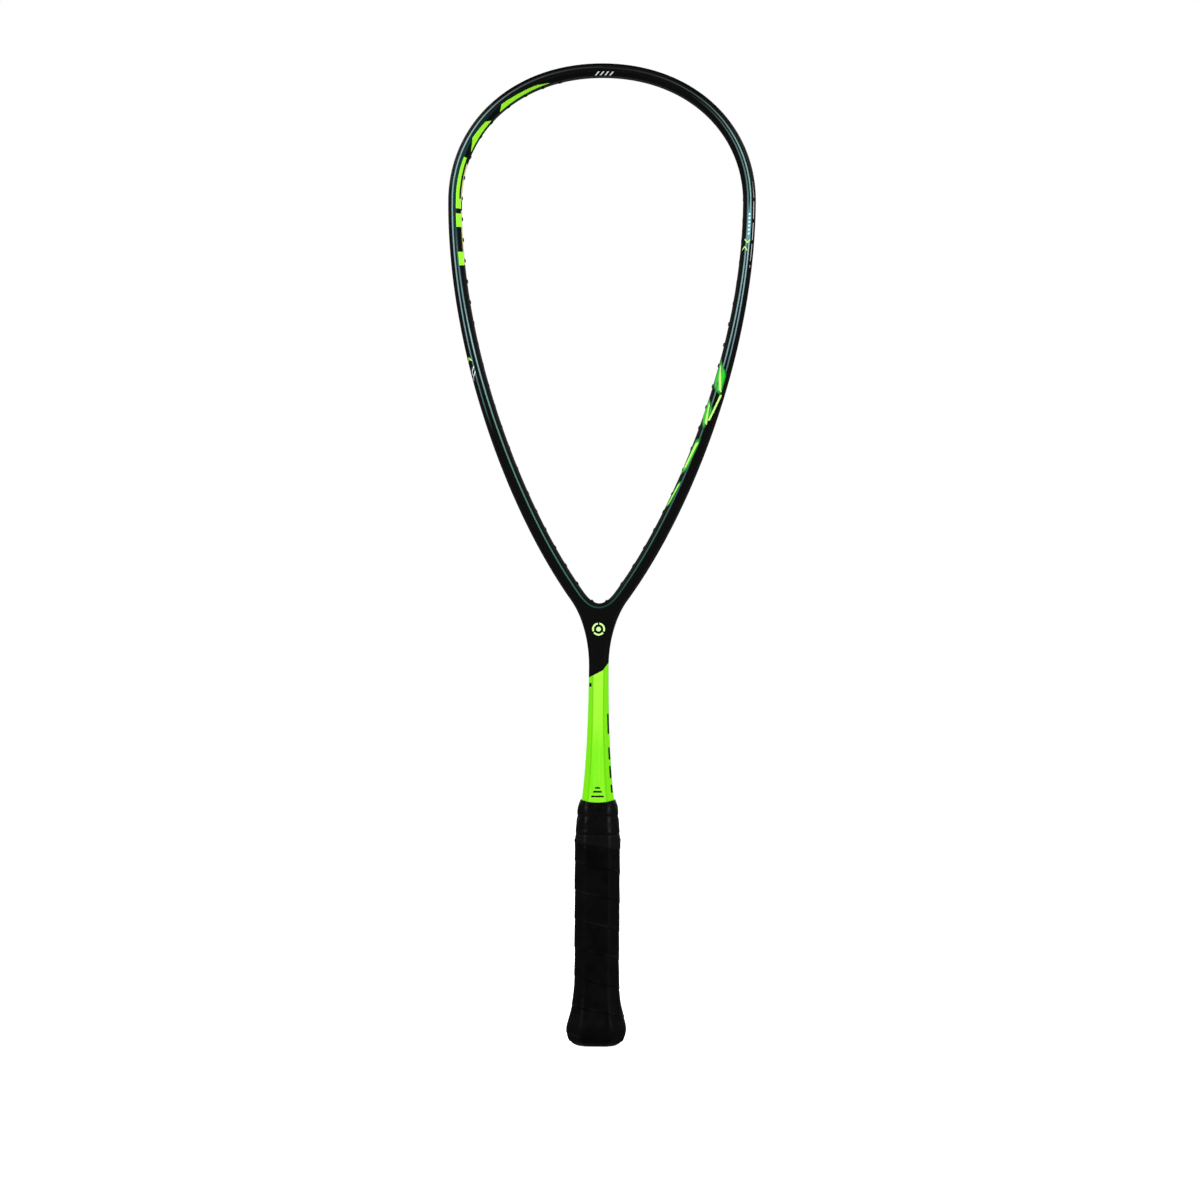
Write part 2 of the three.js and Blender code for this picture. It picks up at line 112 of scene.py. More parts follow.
class Paint:
    """One Principled material, with short calls for the nodes that drive it."""

    def __init__(self, name, **sockets):
        self.material = bpy.data.materials.new(name)
        self.material.use_nodes = True
        self.tree = self.material.node_tree
        self.tree.nodes.clear()
        self.shader = self.tree.nodes.new("ShaderNodeBsdfPrincipled")
        output = self.tree.nodes.new("ShaderNodeOutputMaterial")
        self.tree.links.new(self.shader.outputs[0], output.inputs[0])
        self.set(**sockets)

    def plug(self, socket, value):
        if isinstance(value, bpy.types.NodeSocket):
            self.tree.links.new(value, socket)
        elif value is not None:
            socket.default_value = value

    def set(self, **sockets):
        for name, value in sockets.items():
            self.plug(self.shader.inputs[name.replace("_", " ")], value)

    def node(self, kind, *values, **options):
        made = self.tree.nodes.new("ShaderNode" + kind)
        for name, value in options.items():
            setattr(made, name, value)
        for socket, value in zip(made.inputs, values):
            self.plug(socket, value)
        return made

    def math(self, operation, *values):
        return self.node("Math", *values, operation=operation).outputs[0]

    def attribute(self, name):
        return self.node("Attribute", attribute_name=name).outputs["Fac"]

    def place(self):
        """The object's own coordinates in millimetres."""
        coords = self.node("TexCoord").outputs["Object"]
        return self.node("VectorMath", coords, (1 / MM,) * 3, operation="MULTIPLY").outputs[0]

    def named(self, kind, **sockets):
        """The outputs of a new node whose inputs are given by name."""
        made = self.node(kind)
        for name, value in sockets.items():
            self.plug(made.inputs[name], value)
        return made.outputs

    def noise(self, vector, scale, detail=3.0, roughness=0.5, stretch=None):
        if stretch:
            vector = self.node("VectorMath", vector, stretch, operation="MULTIPLY").outputs[0]
        return self.named("TexNoise", Vector=vector, Scale=scale, Detail=detail, Roughness=roughness)[0]

    def cells(self, vector, scale):
        return self.named("TexVoronoi", Vector=vector, Scale=scale)["Distance"]

    def ramp(self, factor, stops):
        """Stops are (position, colour or grey) pairs, rising."""
        made = self.node("ValToRGB", factor)
        ramp = made.color_ramp
        while len(ramp.elements) < len(stops):
            ramp.elements.new(1.0)
        for element, (position, value) in zip(ramp.elements, stops):
            element.position = position
            element.color = value if isinstance(value, tuple) else (value, value, value, 1)
        return made.outputs[0]

    def scale_range(self, value, low, high, to_low=0.0, to_high=1.0):
        return self.node("MapRange", value, low, high, to_low, to_high, clamp=True).outputs[0]

    def mix(self, factor, a, b):
        made = self.node("Mix", data_type="RGBA")
        self.plug(made.inputs[0], factor)
        self.plug(made.inputs[6], a)
        self.plug(made.inputs[7], b)
        return made.outputs[2]

    def bump(self, height, strength, distance=0.0002, normal=None):
        return self.named("Bump", Height=height, Strength=strength, Distance=distance, Normal=normal)[0]

    def blend(self, value, low, high, dark, light):
        """From one hex colour to another as the value runs from low to high."""
        return self.mix(self.scale_range(value, low, high), srgb(dark), srgb(light))

    def finish(self, colour, rough, normal):
        self.set(Base_Color=colour, Roughness=rough, Normal=normal)
        return self.material


HEIGHT = 686.0


def by_height(paint, z, pairs):
    """A value that follows z: pairs are (z in mm, value), rising."""
    factor = paint.math("DIVIDE", z, HEIGHT)
    return paint.ramp(factor, [(mm / HEIGHT, value) for mm, value in pairs])


def line(paint, distance, centre, half, soft):
    """1 within `half` of `centre`, falling to 0 over `soft`."""
    off = paint.math("ABSOLUTE", paint.math("SUBTRACT", distance, centre))
    return paint.scale_range(off, half, half + soft, 1.0, 0.0)


# Strength of the two pale lines and of the teal between them, down each side: (z in mm, value). The pale
# lines are partly teal paint and partly painted highlight along the front face's creases.
OUTER_LINE = {
    -1: [
        (428, 0), (446, 0.2), (470, 0.3), (500, 0.45), (560, 0.62),
        (600, 0.75), (632, 1.0), (650, 0.7), (668, 0.3), (684, 0.1),
    ],
    1: [
        (452, 0), (470, 0.25), (500, 0.45), (545, 0.68), (562, 0.82),
        (628, 0.8), (650, 0.4), (664, 0.18), (684, 0.07),
    ],
}
INNER_LINE = {
    -1: [
        (304, 0.2), (316, 0.45), (400, 0.5), (470, 0.65), (490, 0.8),
        (510, 0.5), (545, 0.25), (568, 0.06), (590, 0),
    ],
    1: [
        (304, 0.2), (330, 0.3), (400, 0.3), (455, 0.35), (480, 0.5), (545, 0.6),
        (566, 0.4), (590, 0.35), (628, 0.3), (650, 0.12), (664, 0),
    ],
}
BAND_FILL = {
    -1: [(425, 0), (460, 0.3), (510, 0.6), (560, 1), (630, 0.9), (655, 0.35), (668, 0)],
    1: [(430, 0), (470, 0.35), (550, 0.5), (580, 0.7), (598, 0.35), (620, 0.12), (640, 0)],
}
# The one wide pale band on the right, where the two pale lines run together: teal paint and painted
# highlight.
WIDE_BAND = [(559, 0), (563, 0.9), (580, 0.9), (588, 0)]

# Colours down the racket: (z in mm, colour).
LINE_COLOURS = [
    (306, "3d7f75"), (350, "5b9c8e"), (430, "74ab9e"), (490, "a4c8cc"), (560, "a0c4c6"),
    (600, "86b4ae"), (636, "86aca8"), (670, "7c8c8e"), (684, "6a7070"),
]
FILL_COLOURS = [(430, "031112"), (520, "0a2123"), (600, "193336"), (660, "122427")]
LIME_COLOURS = [(172, "84e224"), (182, "72e01a"), (206, "78e21e"), (225, "94e82e"), (256, "9ee83a")]

# Middle and half width of each line, in mm from the edge it follows. A ramp only gives 0 to 1, so the
# inner line's place goes through it in units of 10 mm.
OUTER_LINE_PLACE = {-1: 3.2, 1: 3.6}
OUTER_LINE_HALF, INNER_LINE_HALF = 0.28, 0.3
INNER_LINE_PLACE = [(430, 3.05), (545, 3.7), (590, 3.5)]
INNER_PLACE_UNIT = 10.0
WIDE_PLACE, WIDE_HALF = 4.1, 1.0

# The lime ends at this height on the axis. Its edge rises to the right, and faster past this x.
LIME_TOP_Z, LIME_SLOPE = 260.6, 0.52
LIME_STEEP_X, LIME_STEEP_SLOPE = 3.2, 0.9
LIME_EDGE_SOFT = 0.12


def colours_by_height(paint, z, pairs):
    return by_height(paint, z, [(mm, srgb(code)) for mm, code in pairs])


def lacquer_paint():
    """Satin black over the moulding, two pale lines (teal paint with a painted crease highlight) with teal
    between them, and lime on the shaft with painted shade on its chamfers and creases.
    """
    paint = Paint("frame_lacquer", Specular_IOR_Level=0.03)
    point = paint.place()
    x, _, z = paint.node("SeparateXYZ", point).outputs
    right = paint.math("GREATER_THAN", x, 0.0)
    from_outer = paint.attribute("from_outer")
    from_inner = paint.attribute("from_inner")

    def by_side(table):
        return paint.mix(right, by_height(paint, z, table[-1]), by_height(paint, z, table[1]))

    def lay(under, over, shape, strength):
        return paint.mix(paint.math("MULTIPLY", shape, strength), under, over)

    grain = paint.noise(point, 0.9, 4.0)
    fleck = paint.noise(point, 7.0, 2.0)
    black = paint.ramp(grain, [(0.35, srgb("070808")), (0.5, srgb("0a0a0a")), (0.7, srgb("0e0d0d"))])

    between = paint.math(
        "MULTIPLY",
        paint.scale_range(from_outer, 2.5, 2.9),
        paint.scale_range(from_inner, 2.5, 3.0),
    )
    colour = lay(black, colours_by_height(paint, z, FILL_COLOURS), between, by_side(BAND_FILL))
    # The pale lines' colour: teal paint and painted crease highlight, grey where it crosses the black
    # crown.
    stripe_and_highlight = colours_by_height(paint, z, LINE_COLOURS)
    outer_place = paint.scale_range(x, -1.0, 1.0, OUTER_LINE_PLACE[-1], OUTER_LINE_PLACE[1])
    outer = line(paint, from_outer, outer_place, OUTER_LINE_HALF, OUTER_LINE_HALF)
    colour = lay(colour, stripe_and_highlight, outer, by_side(OUTER_LINE))
    inner_place = by_height(paint, z, [(mm, place / INNER_PLACE_UNIT) for mm, place in INNER_LINE_PLACE])
    inner_place = paint.math("MULTIPLY", inner_place, INNER_PLACE_UNIT)
    inner = line(paint, from_inner, inner_place, INNER_LINE_HALF, INNER_LINE_HALF)
    colour = lay(colour, stripe_and_highlight, inner, by_side(INNER_LINE))
    # The wide band: teal paint and painted highlight where the two pale lines meet.
    wide = paint.math("MULTIPLY", line(paint, from_outer, WIDE_PLACE, WIDE_HALF, 0.3), right)
    colour = lay(colour, srgb("649ea6"), wide, by_height(paint, z, WIDE_BAND))

    # The lime's slanted upper edge, which steepens over the right chamfer.
    slope = paint.math("MULTIPLY_ADD", x, LIME_SLOPE, LIME_TOP_Z)
    past = paint.math("MAXIMUM", paint.math("SUBTRACT", x, LIME_STEEP_X), 0.0)
    steep = paint.math("MULTIPLY", past, LIME_STEEP_SLOPE)
    edge = paint.math("SUBTRACT", paint.math("ADD", slope, steep), z)
    lime_here = paint.scale_range(edge, -LIME_EDGE_SOFT, LIME_EDGE_SOFT)
    streaks = paint.noise(point, 0.5, 3.0, 0.6, stretch=(1.0, 1.0, 0.06))
    streaks = paint.scale_range(streaks, 0.45, 0.8, 0.0, 0.6)
    lime = paint.mix(streaks, colours_by_height(paint, z, LIME_COLOURS), srgb("a2ea3c"))
    # Painted shade: the lime is darker on the chamfers, and darker still along the creases.
    lime = paint.mix(paint.scale_range(paint.attribute("on_bevel"), 0.0, 1.0), lime, srgb("7ce414"))
    crease = line(paint, paint.attribute("from_crease"), 0.0, 0.25, 0.5)
    lime = lay(lime, srgb("58c008"), crease, 0.6)
    colour = paint.mix(lime_here, colour, lime)

    rough = paint.scale_range(grain, 0.3, 0.7, 0.34, 0.46)
    rough = paint.math("ADD", rough, paint.math("MULTIPLY", fleck, 0.05))
    peel = paint.bump(paint.noise(point, 1.6, 2.0), 0.06, 0.0003)
    return paint.finish(colour, rough, paint.bump(fleck, 0.05, 0.0001, peel))


def nylon_paint():
    paint = Paint("black_nylon", Specular_IOR_Level=0.03)
    point = paint.place()
    scuffs = paint.noise(point, 0.5, 5.0, 0.7, stretch=(1.0, 3.0, 1.0))
    colour = paint.blend(scuffs, 0.6, 0.78, "050505", "0c0c0c")
    grain = paint.bump(paint.noise(point, 3.0, 4.0), 0.15)
    return paint.finish(colour, paint.scale_range(scuffs, 0.4, 0.75, 0.42, 0.62), grain)


def grip_paint():
    """Tacky black skin: fine pebble grain, dark seams, and a painted highlight in grey along each turn's
    lower edge, just above the seam, in patches.
    """
    paint = Paint("grip_skin", Specular_IOR_Level=0.03)
    point = paint.place()
    grip_patches = paint.noise(point, 0.09, 3.0, 0.6)
    colour = paint.blend(grip_patches, 0.35, 0.7, "030303", "070707")
    colour = paint.mix(paint.math("MULTIPLY", paint.attribute("seam"), 0.8), colour, srgb("010101"))
    # Painted highlight: grey along each turn's lower edge, just above the seam, patchy along its length.
    seam_highlight = paint.math("MULTIPLY", paint.attribute("edge"), paint.scale_range(grip_patches, 0.48, 0.72))
    colour = paint.mix(seam_highlight, colour, srgb("181818"))
    grain = paint.bump(paint.noise(point, 2.6, 4.0), 0.15)
    grain = paint.bump(paint.cells(point, 1.3), 0.22, 0.00025, grain)
    return paint.finish(colour, paint.scale_range(grip_patches, 0.3, 0.7, 0.42, 0.56), grain)


def tape_paint():
    paint = Paint("finishing_tape", Specular_IOR_Level=0.06)
    ridges = paint.noise(paint.place(), 1.2, 3.0, 0.5, stretch=(0.2, 0.2, 3.0))
    colour = paint.blend(ridges, 0.35, 0.7, "040404", "090909")
    rough = paint.scale_range(ridges, 0.3, 0.7, 0.4, 0.55)
    return paint.finish(colour, rough, paint.bump(ridges, 0.2))


def rubber_paint(name, dark, light, low, high, scale=1.5, shine=0.05):
    """Rubber or matt plastic, with a roughness between low and high."""
    paint = Paint(name, Specular_IOR_Level=shine)
    point = paint.place()
    bloom = paint.noise(point, 0.25, 4.0, 0.6)
    colour = paint.blend(bloom, 0.35, 0.7, dark, light)
    grain = paint.bump(paint.noise(point, scale * 2, 3.0), 0.12)
    return paint.finish(colour, paint.scale_range(bloom, 0.3, 0.7, low, high), grain)


def foam_paint(name, dark, light, cell_scale):
    paint = Paint(name)
    cells = paint.cells(paint.place(), cell_scale)
    colour = paint.blend(cells, 0.1, 0.6, dark, light)
    rough = paint.scale_range(cells, 0.0, 0.7, 0.75, 0.95)
    return paint.finish(colour, rough, paint.bump(cells, 0.5, 0.0004))


def wire_paint():
    paint = Paint("staple_wire", Metallic=1.0)
    drawn = paint.noise(paint.place(), 2.0, 4.0, 0.6, stretch=(1.0, 8.0, 8.0))
    colour = paint.mix(drawn, srgb("8f9294"), srgb("c3c6c8"))
    rough = paint.scale_range(drawn, 0.3, 0.7, 0.25, 0.45)
    return paint.finish(colour, rough, paint.bump(drawn, 0.1, 0.0001))


def print_paint(name, dark, light, edge=None):
    """Printed lacquer. With `edge`, the print fades to that colour at its rim."""
    paint = Paint(name, Specular_IOR_Level=0.1)
    mottle = paint.noise(paint.place(), 2.5, 3.0)
    colour = paint.blend(mottle, 0.3, 0.7, dark, light)
    if edge:
        colour = paint.mix(paint.scale_range(paint.attribute("rim"), 0.0, 0.6), srgb(edge), colour)
    rough = paint.scale_range(mottle, 0.3, 0.7, 0.34, 0.44)
    return paint.finish(colour, rough, paint.bump(mottle, 0.05, 0.0001))


def floor_paint():
    """White to the camera, and darker to every other ray, so it lights the racket less."""
    paint = Paint("studio_floor", Emission_Color=(1, 1, 1, 1))
    seen = paint.node("LightPath").outputs["Is Camera Ray"]
    mottle = paint.noise(paint.place(), 0.004, 3.0)
    pale = paint.mix(mottle, srgb("f2f2f2"), srgb("f8f8f8"))
    paint.set(
        Emission_Strength=paint.scale_range(seen, 0.0, 1.0, 0.15, 0.9),
        Base_Color=paint.mix(seen, srgb("8a8a8a"), pale),
        Roughness=paint.scale_range(mottle, 0.0, 1.0, 0.85, 0.95),
    )
    return paint.material


# ---------------- mesh building


SHARP_ANGLE = 38


def link(name, data):
    made = bpy.data.objects.new(name, data)
    bpy.context.scene.collection.objects.link(made)
    return made


def mesh_object(name, vertices, faces):
    """A plain mesh from points in millimetres."""
    mesh = bpy.data.meshes.new(name)
    mesh.from_pydata([Vector(v) * MM for v in vertices], [], faces)
    return link(name, mesh)


def make_object(name, vertices, faces, material, replaces=(), attributes=None, sharp=SHARP_ANGLE):
    """A piece from points in millimetres. Attributes are {name: value for each vertex}."""
    piece = mesh_object(name, vertices, faces)
    for key, values in (attributes or {}).items():
        piece.data.attributes.new(key, "FLOAT", "POINT").data.foreach_set("value", values)
    piece.data.materials.append(material)
    settle(piece, sharp)
    return enrol(piece, replaces)


def settle(piece, sharp=SHARP_ANGLE):
    """Joins doubled points, turns every face outwards, and smooths all but the sharp edges."""
    work = bmesh.new()
    work.from_mesh(piece.data)
    bmesh.ops.remove_doubles(work, verts=work.verts, dist=1e-6)
    bmesh.ops.recalc_face_normals(work, faces=work.faces)
    work.to_mesh(piece.data)
    work.free()
    piece.data.polygons.foreach_set("use_smooth", [True] * len(piece.data.polygons))
    piece.data.set_sharp_from_angle(angle=math.radians(sharp))


def enrol(piece, replaces=()):
    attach(piece, "root")
    if replaces:
        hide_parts(*replaces)
    return piece


def grid_faces(rows, columns, close_rows=False, close_columns=False, start=0):
    """Quads over a grid of points that is stored row by row."""
    faces = []
    for r in range(rows if close_rows else rows - 1):
        below = (r + 1) % rows
        for c in range(columns if close_columns else columns - 1):
            right = (c + 1) % columns
            quad = (r * columns + c, r * columns + right, below * columns + right, below * columns + c)
            faces.append(tuple(start + i for i in quad))
    return faces


def loft_parts(rings, capped=True):
    """Vertices and faces through rings of equally many points, capped at both ends or closed in a loop."""
    count = len(rings[0])
    vertices = [p for ring in rings for p in ring]
    faces = grid_faces(len(rings), count, close_rows=not capped, close_columns=True)
    if capped:
        faces.append(tuple(range(count)))
        faces.append(tuple(range((len(rings) - 1) * count, len(rings) * count)))
    return vertices, faces


def join_parts(parts):
    vertices, faces = [], []
    for more, quads in parts:
        faces += [tuple(i + len(vertices) for i in quad) for quad in quads]
        vertices += more
    return vertices, faces


# ---------------- the frame's outlines

HALF_WIDTH = 107.5
WIDEST_Z = 590.0
LEG_END = (19.6, 311.0)
OPENING_BOTTOM_Z = 309.0
NECK = (6.7, 262.0)
HANDLE_TOP = (11.6, 168.0)
SHAFT_END_Z = 3.4
HOOP_WIDTH, LEG_WIDTH = 9.0, 10.3
HOOP_HALF_DEPTH, SHAFT_HALF_DEPTH = 9.5, 9.9
BEVEL_DROP = 3.5
INNER_BEVEL = 2.7
HOOP_OUTER_BEVEL, LEG_OUTER_BEVEL, NECK_BEVEL, HANDLE_BEVEL = 2.4, 1.6, 2.8, 4.6
THROAT_SPLIT = 0.42
GROOVE_DEPTH, GROOVE_HALF = 1.6, 2.8
SEAT_HALF = 4.4
BUMPER_END_S = 1.147
BUMPER_GAP_S = 0.001
GROOVE_ROUND, SHOULDER_ROUND, CREASE_ROUND, INNER_EDGE_ROUND = 0.35, 0.7, 0.55, 0.8
CHANNEL_DEPTH = 0.22
CHANNEL_FADE = (1.2, 0.7)

crown_curve = Bezier((0, HEIGHT), (64, HEIGHT), (HALF_WIDTH, 643.5), (HALF_WIDTH, WIDEST_Z))
leg_curve = Bezier((HALF_WIDTH, WIDEST_Z), (HALF_WIDTH, 485), (64, 372.5), LEG_END)
throat_curve = Bezier(LEG_END, (13.5, 302.5), (6.2, 286), NECK)
shaft_curve = Bezier(NECK, (6.9, 222), (8.6, 190), HANDLE_TOP)


def inwards(tangent):
    return Vector((tangent.y, -tangent.x))


def tube_width(s):
    return lerp(HOOP_WIDTH, LEG_WIDTH, ease((s - 1) * 1.25))


leg_inside = leg_curve.at(1) + inwards(leg_curve.tangent(1)) * tube_width(2)
inner_throat = Bezier(leg_inside, (8.3, 313), (4.5, OPENING_BOTTOM_Z), (0, OPENING_BOTTOM_Z))


def station(s):
    """The half frame at s: 0 at the crown, 1 at the widest, 2 where the legs end, 3 at the opening's
    bottom, 4 at the neck, 5 at the top of the handle and 6 at the shaft's end."""
    band = min(int(s), 5)
    t = s - band
    at = SimpleNamespace(s=s, inner=None, half_depth=lerp(HOOP_HALF_DEPTH, SHAFT_HALF_DEPTH, ease(s - 1)))
    if band < 2:
        path = (crown_curve, leg_curve)[band]
        at.outer, at.outer_in = path.at(t), inwards(path.tangent(t))
        at.inner, at.inner_in = at.outer + at.outer_in * tube_width(s), -at.outer_in
        at.bevel = lerp(HOOP_OUTER_BEVEL, LEG_OUTER_BEVEL, ease((s - 1) * 1.5))
    elif band == 2 or s == 3:
        u = s - 2
        tangent = inner_throat.tangent(u)
        at.outer = throat_curve.at(u * THROAT_SPLIT)
        at.outer_in = inwards(throat_curve.tangent(u * THROAT_SPLIT))
        at.inner, at.inner_in = inner_throat.at(u), Vector((-tangent.y, tangent.x))
        at.bevel = lerp(LEG_OUTER_BEVEL, NECK_BEVEL, u * THROAT_SPLIT)
    elif band == 3:
        u = lerp(THROAT_SPLIT, 1, t)
        at.outer, at.outer_in = throat_curve.at(u), inwards(throat_curve.tangent(u))
        at.axis_z = lerp(OPENING_BOTTOM_Z - INNER_BEVEL - CREASE_ROUND, NECK[1], t)
        at.bevel = lerp(LEG_OUTER_BEVEL, NECK_BEVEL, u)
    else:
        straight = Vector((HANDLE_TOP[0], lerp(HANDLE_TOP[1], SHAFT_END_Z, t)))
        at.outer, at.outer_in = shaft_curve.at(t) if band == 4 else straight, Vector((-1, 0))
        at.axis_z = at.outer.y
        at.bevel = lerp(NECK_BEVEL, HANDLE_BEVEL, t if band == 4 else 1)
    return at


def from_outer(at, depth, v):
    p = at.outer + at.outer_in * depth
    return Vector((p.x, -v, p.y))


def from_inner(at, depth, v):
    p = at.inner + at.inner_in * depth
    return Vector((p.x, -v, p.y))


def rounded(before, corner, after, radius, q, spread=0.1):
    """Four (q, point) samples of the rounded corner between two flats."""
    a = before - corner
    b = after - corner
    start = corner + a * min(radius / max(a.length, 1e-6), 0.45)
    end = corner + b * min(radius / max(b.length, 1e-6), 0.45)
    out = []
    for t in (0, 1 / 3, 2 / 3, 1):
        u = 1 - t
        out.append((q + lerp(-spread, spread, t), start * (u * u) + corner * (2 * u * t) + end * (t * t)))
    return out


FACE_STEPS = 6


def section(at):
    """Front half of the section as (q, point) samples, from the outer wall's middle to the inner wall's.
    q is -2 and -1 on the outer wall, 0 at its shoulder, 1 and 2 at the creases of the front face,
    3 at the inner wall's edge and 4 at its middle. From s = 3 on, it stops at 1.9, on the axis."""
    s, depth, bevel = at.s, at.half_depth, at.bevel
    shoulder = depth - (BEVEL_DROP if s < 3 else bevel)
    if s <= BUMPER_END_S:
        seat = shoulder + BEVEL_DROP * GROOVE_DEPTH / bevel
        wall = [(GROOVE_DEPTH, half) for half in (0, GROOVE_HALF, SEAT_HALF, seat)]
    else:
        floor = GROOVE_DEPTH if s <= 3 else 0
        wall = [(floor, 0), (floor, GROOVE_HALF - 0.3 * (s > 3)), (0, GROOVE_HALF), (0, shoulder)]
    wall = [from_outer(at, *p) for p in wall]
    crease = from_outer(at, bevel, depth)
    if at.inner:
        inner_crease = from_inner(at, INNER_BEVEL, depth)
        edge = from_inner(at, 0, depth - BEVEL_DROP)
        middle = from_inner(at, 0, 0)
    else:
        inner_crease = Vector((0, -depth, at.axis_z))
    samples = [(-2, wall[0]), (-1.2, wall[1])]
    samples += rounded(wall[1], wall[2], wall[3], GROOVE_ROUND, -0.9, 0.08)
    samples += rounded(wall[2], wall[3], crease, SHOULDER_ROUND, 0)
    samples.append((0.5, (wall[3] + crease) / 2))
    samples += rounded(wall[3], crease, inner_crease, CREASE_ROUND, 1)
    if at.inner:
        face_side = from_inner(at, INNER_BEVEL + 2, depth)
        corner = rounded(face_side, inner_crease, edge, CREASE_ROUND, 2)
    else:
        corner = [(1.9, inner_crease)]
    start, end = samples[-1][1], corner[0][1]
    fade_start, fade_run = CHANNEL_FADE
    sink = CHANNEL_DEPTH * (1 - ease((s - fade_start) / fade_run))
    for i in range(1, FACE_STEPS):
        t = i / FACE_STEPS
        p = start.lerp(end, t)
        p.y += sink * min(1.0, 4 * t * (1 - t) * 1.4)
        samples.append((lerp(1.1, 1.9, t), p))
    samples += corner
    if at.inner:
        samples.append((2.5, (inner_crease + edge) / 2))
        samples += rounded(inner_crease, edge, middle, INNER_EDGE_ROUND, 3)
        samples.append((4, middle))
    return samples


def skin(s, q):
    samples = section(station(s))
    for (q0, p0), (q1, p1) in zip(samples, samples[1:]):
        if q <= q1:
            return p0.lerp(p1, (q - q0) / (q1 - q0))
    return samples[-1][1]


def skin_lifted(s, q, lift, side, back=False):
    """A point `lift` mm off the frame's surface at (s, q), on the left or right and front or back."""
    p = skin(s, q)
    along = skin(s + 1e-3, q) - skin(s - 1e-3, q) if s > 0.002 else skin(s + 1e-3, q) - p
    across = skin(s, min(q + 0.04, 4.0)) - skin(s, max(q - 0.04, -2.0))
    p = p + across.cross(along).normalized() * lift
    return Vector((p.x * side, -p.y if back else p.y, p.z))


# ---------------- the frame's shell


def station_run():
    run = spaced(0, 1, 72) + spaced(1, BUMPER_END_S, 12) + [BUMPER_END_S, BUMPER_END_S + 1e-4]
    run += spaced(BUMPER_END_S + 0.004, 2, 96) + spaced(2, 3, 40)
    return run + [3.0] + spaced(3.02, 4, 26) + spaced(4, 5, 44) + [5.0, 5.1, 6.0]


def frame_shell(material):
    """Skins the right half between stations, front and back, and mirrors it to the left."""
    rows = [(station(s), section(station(s))) for s in station_run()]
    vertices, values, faces = [], [], []
    opening = Vector((0, OPENING_BOTTOM_Z))

    def add(at, sample, side, face):
        q, p = sample
        flat = Vector((p.x, p.z))
        if abs(p.x) < 0.01:
            p = Vector((0, p.y, p.z))
        vertices.append(Vector((p.x * side, p.y * face, p.z)))
        crease = from_outer(at, at.bevel, at.half_depth)
        values.append(
            (
                (flat - at.outer).length,
                (flat - (at.inner or opening)).length,
                (flat - Vector((crease.x, crease.z))).length,
                ease(1.5 - q / 0.8 + 0.25) if q < 1.2 else 0.0,
            )
        )

    for side in SIDES:
        for face in (1, -1):
            offsets = []
            for at, samples in rows:
                offsets.append((len(vertices), len(samples)))
                for sample in samples:
                    add(at, sample, side, face)
            for (a, m), (b, n) in zip(offsets, offsets[1:]):
                faces += [(a + j, b + j, b + j + 1, a + j + 1) for j in range(min(m, n) - 1)]
    end_at, end = rows[-1]
    start = len(vertices)
    for side, face in ((1, 1), (1, -1), (-1, -1), (-1, 1)):
        for sample in reversed(end) if side * face > 0 else end:
            add(end_at, sample, side, face)
    faces.append(tuple(range(start, len(vertices))))
    names = ("from_outer", "from_inner", "from_crease", "on_bevel")
    marks = {name: list(column) for name, column in zip(names, zip(*values))}
    return make_object("frame_shell", vertices, faces, material, ["frame"], marks, 42)


# ---------------- bumper and grommets

STRIP_START_S, STRIP_END_S = 1.1666, 1.875
BARREL_R, BORE_R = 1.4, 0.75
BARREL_ROOT = 0.8
# How far a barrel stands past the inner wall, on each side: (s, mm).
BARREL_PROUD = {
    -1: [(0.12, 0.15), (0.13, 0.9), (1.2, 0.9), (1.3, 0.35), (1.6, 0.35), (1.9, 0.6)],
    1: [(1.2, 0.15), (1.3, 0.8), (1.45, 0.8), (1.6, 0.5), (1.9, 0.5)],
}
FIT_GAP = 0.3
STRIP_HALF, STRIP_THICK = 2.4, 1.0
MAIN_PITCH, MAINS_PER_SIDE = 12.0, 7
CROSS_TOP_Z, CROSS_PITCH, CROSSES = 635.2, 14.5, 17
LEG_HOLE_TOP_Z, LEG_HOLE_PITCH = 386.0, 12.6
SINGLE_GROMMETS = 3


def find_s(low, high, past):
    for _ in range(30):
        middle = (low + high) / 2
        low, high = (low, middle) if past(station(middle)) else (middle, high)
    return low


def find_z(low, high, z):
    return find_s(low, high, lambda at: at.inner.y < z)


MAINS = [find_s(0, 1, lambda at, x=MAIN_PITCH * (i + 0.5): at.inner.x > x) for i in range(MAINS_PER_SIDE)]
CROSS_HOLES = [find_z(0.3, 2, CROSS_TOP_Z - CROSS_PITCH * i) for i in range(CROSSES)]
LEG_HOLES = [find_z(1.5, 2.9, LEG_HOLE_TOP_Z - LEG_HOLE_PITCH * i) for i in range(MAINS_PER_SIDE)]
HOLES = MAINS + CROSS_HOLES + LEG_HOLES


def lathe(s, side, profile, sides=20):
    """Turns (distance from the outer edge, radius) pairs round the string hole at s."""
    at = station(s)
    along = (at.inner - at.outer).normalized()
    across = Vector((-along.y, along.x))
    rings = []
    for distance, radius in profile:
        centre = at.outer + along * distance
        ring = []
        for i in range(sides):
            turn = math.tau * i / sides
            flat = centre + across * (radius * math.cos(turn))
            ring.append(Vector((flat.x * side, radius * math.sin(turn), flat.y)))
        rings.append(ring)
    return loft_parts(rings)


def barrel_tip(s, side):
    """Where a barrel ends: past the inner wall, and all but flush with it over the right shoulder."""
    at = station(s)
    return (at.inner - at.outer).length + track(BARREL_PROUD[side], s)


def barrel(s, side):
    tip = barrel_tip(s, side)
    end = [(tip - 0.45, BARREL_R), (tip - 0.15, BARREL_R - 0.12), (tip, BARREL_R - 0.4)]
    return lathe(s, side, [(BARREL_ROOT, BARREL_R)] + end)


